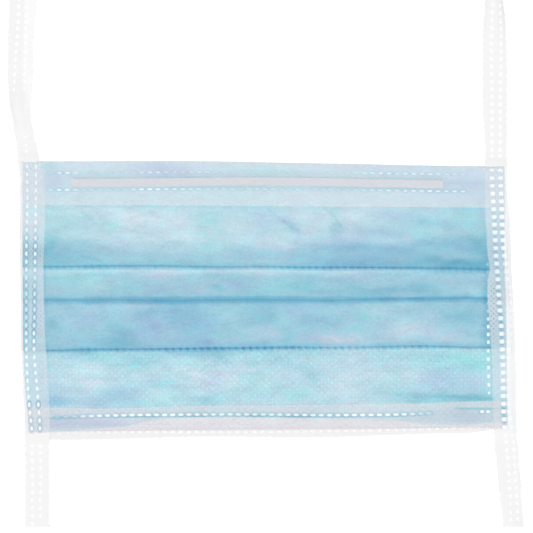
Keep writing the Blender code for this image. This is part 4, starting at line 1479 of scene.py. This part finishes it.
StrapLooks = namedtuple("StrapLooks", "tint cover net")
OVER_BLUE_COVER = 0.32
ALONE_COVER = 1.0
ALONE_COLOUR = (247, 247, 247)
OVER_COLOUR = (243, 243, 246)
MARGIN_COLOURS = {-1: (243, 242, 244), 1: (246, 248, 250)}  # of each strap's rim, outside the body
# Painted light: how much lighter the upper left tie is towards its inner edge, and more so where it is arched
# most; across the tie, places are counted in its widths from that edge
TIE_LIGHT = 0.05
TIE_LIGHT_ACROSS = (0.55, -0.25)
TIE_LIGHT_DOWN = (105, -30)
TWIST_LIGHT = Shade(0.20, 108, 24)
TWIST_ACROSS = (0.45, -0.4)
# The dark rings round the welds on the straps are painted shade, which covers most of what is under it
RING_SHADE_ALBEDO = (0.12, 0.36, 0.48)
RING_COVER = 0.80
SOFT_EDGE = (-0.24, 1.6)  # where a strap thins out at its edges: the start and the length
EDGE_LEAST = 0.25  # the share of its cover that is left at its edges
BODY_SIDE_FADE = (-1.0, 2.2)  # where the blue's edge fades out under a strap
BELOW_BODY_PX = 2  # how far below the body a strap's looks still are those over the body
INNER_LINE = Shade(0.05, 1.2, 1.2)  # a strap covers more beside its inner edge
# Where the straps cover the blue more than elsewhere
MILKY = patches(
    (495, 308, 14, 34, 0.27), (487, 260, 4, 30, 0.10), (43, 300, 3, 60, 0.06), (38, 418, 14, 16, 0.18),
    (499, 262, 10, 50, 0.06), (35, 312, 12, 30, 0.10), (500, 390, 12, 40, 0.08), (33, 223, 16, 14, 0.20),
    (495, 216, 14, 10, 0.12),
)
# Where the net of dark specks shows through the straps
NETS = patches(
    (493, 322, 4.5, 22, 0.8), (492, 292, 4.5, 18, 0.6), (493, 250, 5, 14, 0.4), (32, 254, 9, 13, 0.55),
    (40, 320, 3, 28, 0.5), (42, 255, 3, 12, 0.4), (494, 405, 4, 12, 0.5), (499, 215, 5, 20, 0.2),
)


def strap_looks(side):
    body_side = left_body_edge if side < 0 else right_body_edge
    outer_edge = along([(row.y, row.outer) for row in (LEFT_STRAP if side < 0 else RIGHT_STRAP)])
    inner_edge = left_inner if side < 0 else right_inner

    def looks(at, y, on_front, welds):
        over_body = (y > top_edge(at)) & (y < bottom_edge(at) + BELOW_BODY_PX)
        inside = ramp((at - body_side(y)) * -side, *BODY_SIDE_FADE) * over_body
        share = ALONE_COVER + (OVER_BLUE_COVER - ALONE_COVER) * inside
        from_outer = (at - outer_edge(y)) * -side
        from_inner = (inner_edge(y) - at) * -side
        edge = np.minimum(from_outer, from_inner)
        share = share + (patched(MILKY, at, y) + shade_at(INNER_LINE, from_inner)) * inside
        share = share * (EDGE_LEAST + (1 - EDGE_LEAST) * ramp(edge, *SOFT_EDGE))
        # painted shade in the rings round the welds
        ring = ring_shade(welds, at, y) * on_front * inside
        share = share + (RING_COVER - share) * ring
        alone = np.where(over_body[..., None], shown(*MARGIN_COLOURS[side]), shown(*ALONE_COLOUR))
        tint = alone + (shown(*OVER_COLOUR) - alone) * inside[..., None]
        tint = tint + (np.array(RING_SHADE_ALBEDO) - tint) * ring[..., None]
        # painted light on the upper left tie's inner side
        if side < 0:
            across = from_inner / np.maximum(from_inner + from_outer, 1.0)
            lit = TIE_LIGHT * ramp(across, *TIE_LIGHT_ACROSS) * ramp(y, *TIE_LIGHT_DOWN)
            lit = lit + ramp(across, *TWIST_ACROSS) * shade_at(TWIST_LIGHT, y)
            tint = tint * (1 + lit)[..., None]
        return StrapLooks(tint, layer_cover(np.clip(share, 0, 1)), patched(NETS, at, y) * on_front)

    return looks


# The scene round the mask


FLOOR_SIZE = 3.0
FLOOR_DROP = 0.0001  # the floor's gap below the mask
FLOOR_ALBEDO = 0.92
SUN_SIZE = math.radians(25)
SUN_TILT = (math.radians(12), math.radians(-6), 0)


def floor():
    bpy.ops.mesh.primitive_plane_add(size=FLOOR_SIZE, location=(0, 0, -FLOOR_DROP))
    plane = bpy.context.object
    plane.name = "floor"
    finish = Finish("white_surface", roughness=0.9, specular=0.1)
    finish.shader.inputs["Base Color"].default_value = (*[FLOOR_ALBEDO] * 3, 1)
    plane.data.materials.append(finish.material)


def lights():
    world = bpy.data.worlds.new("studio")
    bpy.context.scene.world = world
    world.use_nodes = True
    background = world.node_tree.nodes["Background"]
    background.inputs["Color"].default_value = (1, 1, 1, 1)
    background.inputs["Strength"].default_value = EXPOSURE * SKY_SHARE
    sun = bpy.data.lights.new("softbox", "SUN")
    sun.energy = math.pi * EXPOSURE * (1 - SKY_SHARE)
    sun.angle = SUN_SIZE
    lamp = bpy.data.objects.new("softbox", sun)
    lamp.rotation_euler = SUN_TILT
    bpy.context.scene.collection.objects.link(lamp)


def camera():
    middle = PHOTO_SIDE / 2
    x, y = on_mask(middle, middle)
    lens = bpy.data.cameras.new("camera")
    lens.sensor_width = SENSOR * 1000
    lens.lens = 1000 * SENSOR * CAMERA_DISTANCE / (PHOTO_SIDE * PIXEL)
    lens.clip_start = 0.05
    lens.clip_end = 10
    view = bpy.data.objects.new("camera", lens)
    view.location = (x, y, CAMERA_DISTANCE)
    bpy.context.scene.collection.objects.link(view)
    bpy.context.scene.camera = view
    bpy.context.scene.view_settings.view_transform = "Standard"


def finish_piece(piece, slot, *nodes):
    """Puts a piece on the mask's body and hides the CAD's nodes that it stands in for; the slot is not used.
    """
    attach(piece, "root")
    if nodes:
        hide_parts(*nodes)


def main():
    camera()
    lights()
    floor()
    white_back = plain_white("white_back", shown(*WHITE_BACK))
    hem_material = see_through("hem_ply", fibre=0.13, thin=0.40)
    strip_material = see_through("strip_ply", fibre=0.04, thin=0.08, relief=0.2, netted=True)
    pad_material = plain_white("weld_white", PAD_ALBEDO, fibre=0.04, covers=True)

    body = mask_body(outer_ply(), white_back)
    finish_piece(body, "outer_ply", "pleated_body")

    wire = nose_wire(wire_finish())
    finish_piece(wire, "nose_wire", "nose_wire")

    top_welds = spots(HEM_DOTS, down=False)
    bottom_welds = spots(BOTTOM_DOTS, down=False)
    hem = top_hem(hem_material, top_welds)
    finish_piece(hem, "white_ply", "top_hem")
    low_hem = bottom_hem(hem_material, bottom_welds)
    finish_piece(low_hem, "white_ply", "bottom_hem")
    border = lining_border(see_through("border_ply", fibre=0.03, thin=0.05, relief=0.2))
    finish_piece(border, "white_ply", "lining_strip")

    sides = {"left": (LEFT_STRAP, -1, LEFT_STACK_X), "right": (RIGHT_STRAP, 1, RIGHT_STACK_X)}
    see_through_pieces = [hem, low_hem, border]
    for side, (rows, sign, stack_x) in sides.items():
        welds = spots(STRAP_DOTS[side], down=True)
        name = side + "_strap_cloth"
        piece, height = strap(name, rows, sign, stack_x, welds, strap_looks(sign), strip_material)
        finish_piece(piece, "tie_strip", side + "_tie_strap")
        pads = weld_pads(side + "_strap_welds", welds, height, pad_material)
        finish_piece(pads, "tie_strip")
        see_through_pieces += [piece, pads]

    def over_top_hem(x, y):
        return LAMINATE + 2 * LIE + HEM_PLY + hump(x, y) + side_lift(x) + swell(x, y)

    def over_bottom_hem(x, y):
        return LAMINATE + 2 * LIE + HEM_PLY + side_lift(x) + lining_lift(x, y) + swell(x, y)

    def over_border(x, y):
        return HEM_PLY + LIE + side_lift(x) + swell(x, y)

    def over_last_panel(x, y):
        panel = int(sum(y > line(x) for line in fold_lines))
        height = panel_height(panel, np.float64(x), np.float64(y))
        return LAMINATE + LIE + height + side_lift(x) + swell(x, y)

    for name, welds, height in (
        ("top_hem_welds", top_welds, over_top_hem),
        ("bottom_hem_welds", bottom_welds, over_bottom_hem),
        ("border_welds", spots(BORDER_DOTS, down=False), over_border),
        ("side_welds", spots(GHOST_DOTS, down=True), over_last_panel),
    ):
        pads = weld_pads(name, welds, height, pad_material)
        finish_piece(pads, "white_ply")
        see_through_pieces.append(pads)
    for piece in see_through_pieces:
        piece.visible_shadow = False


main()
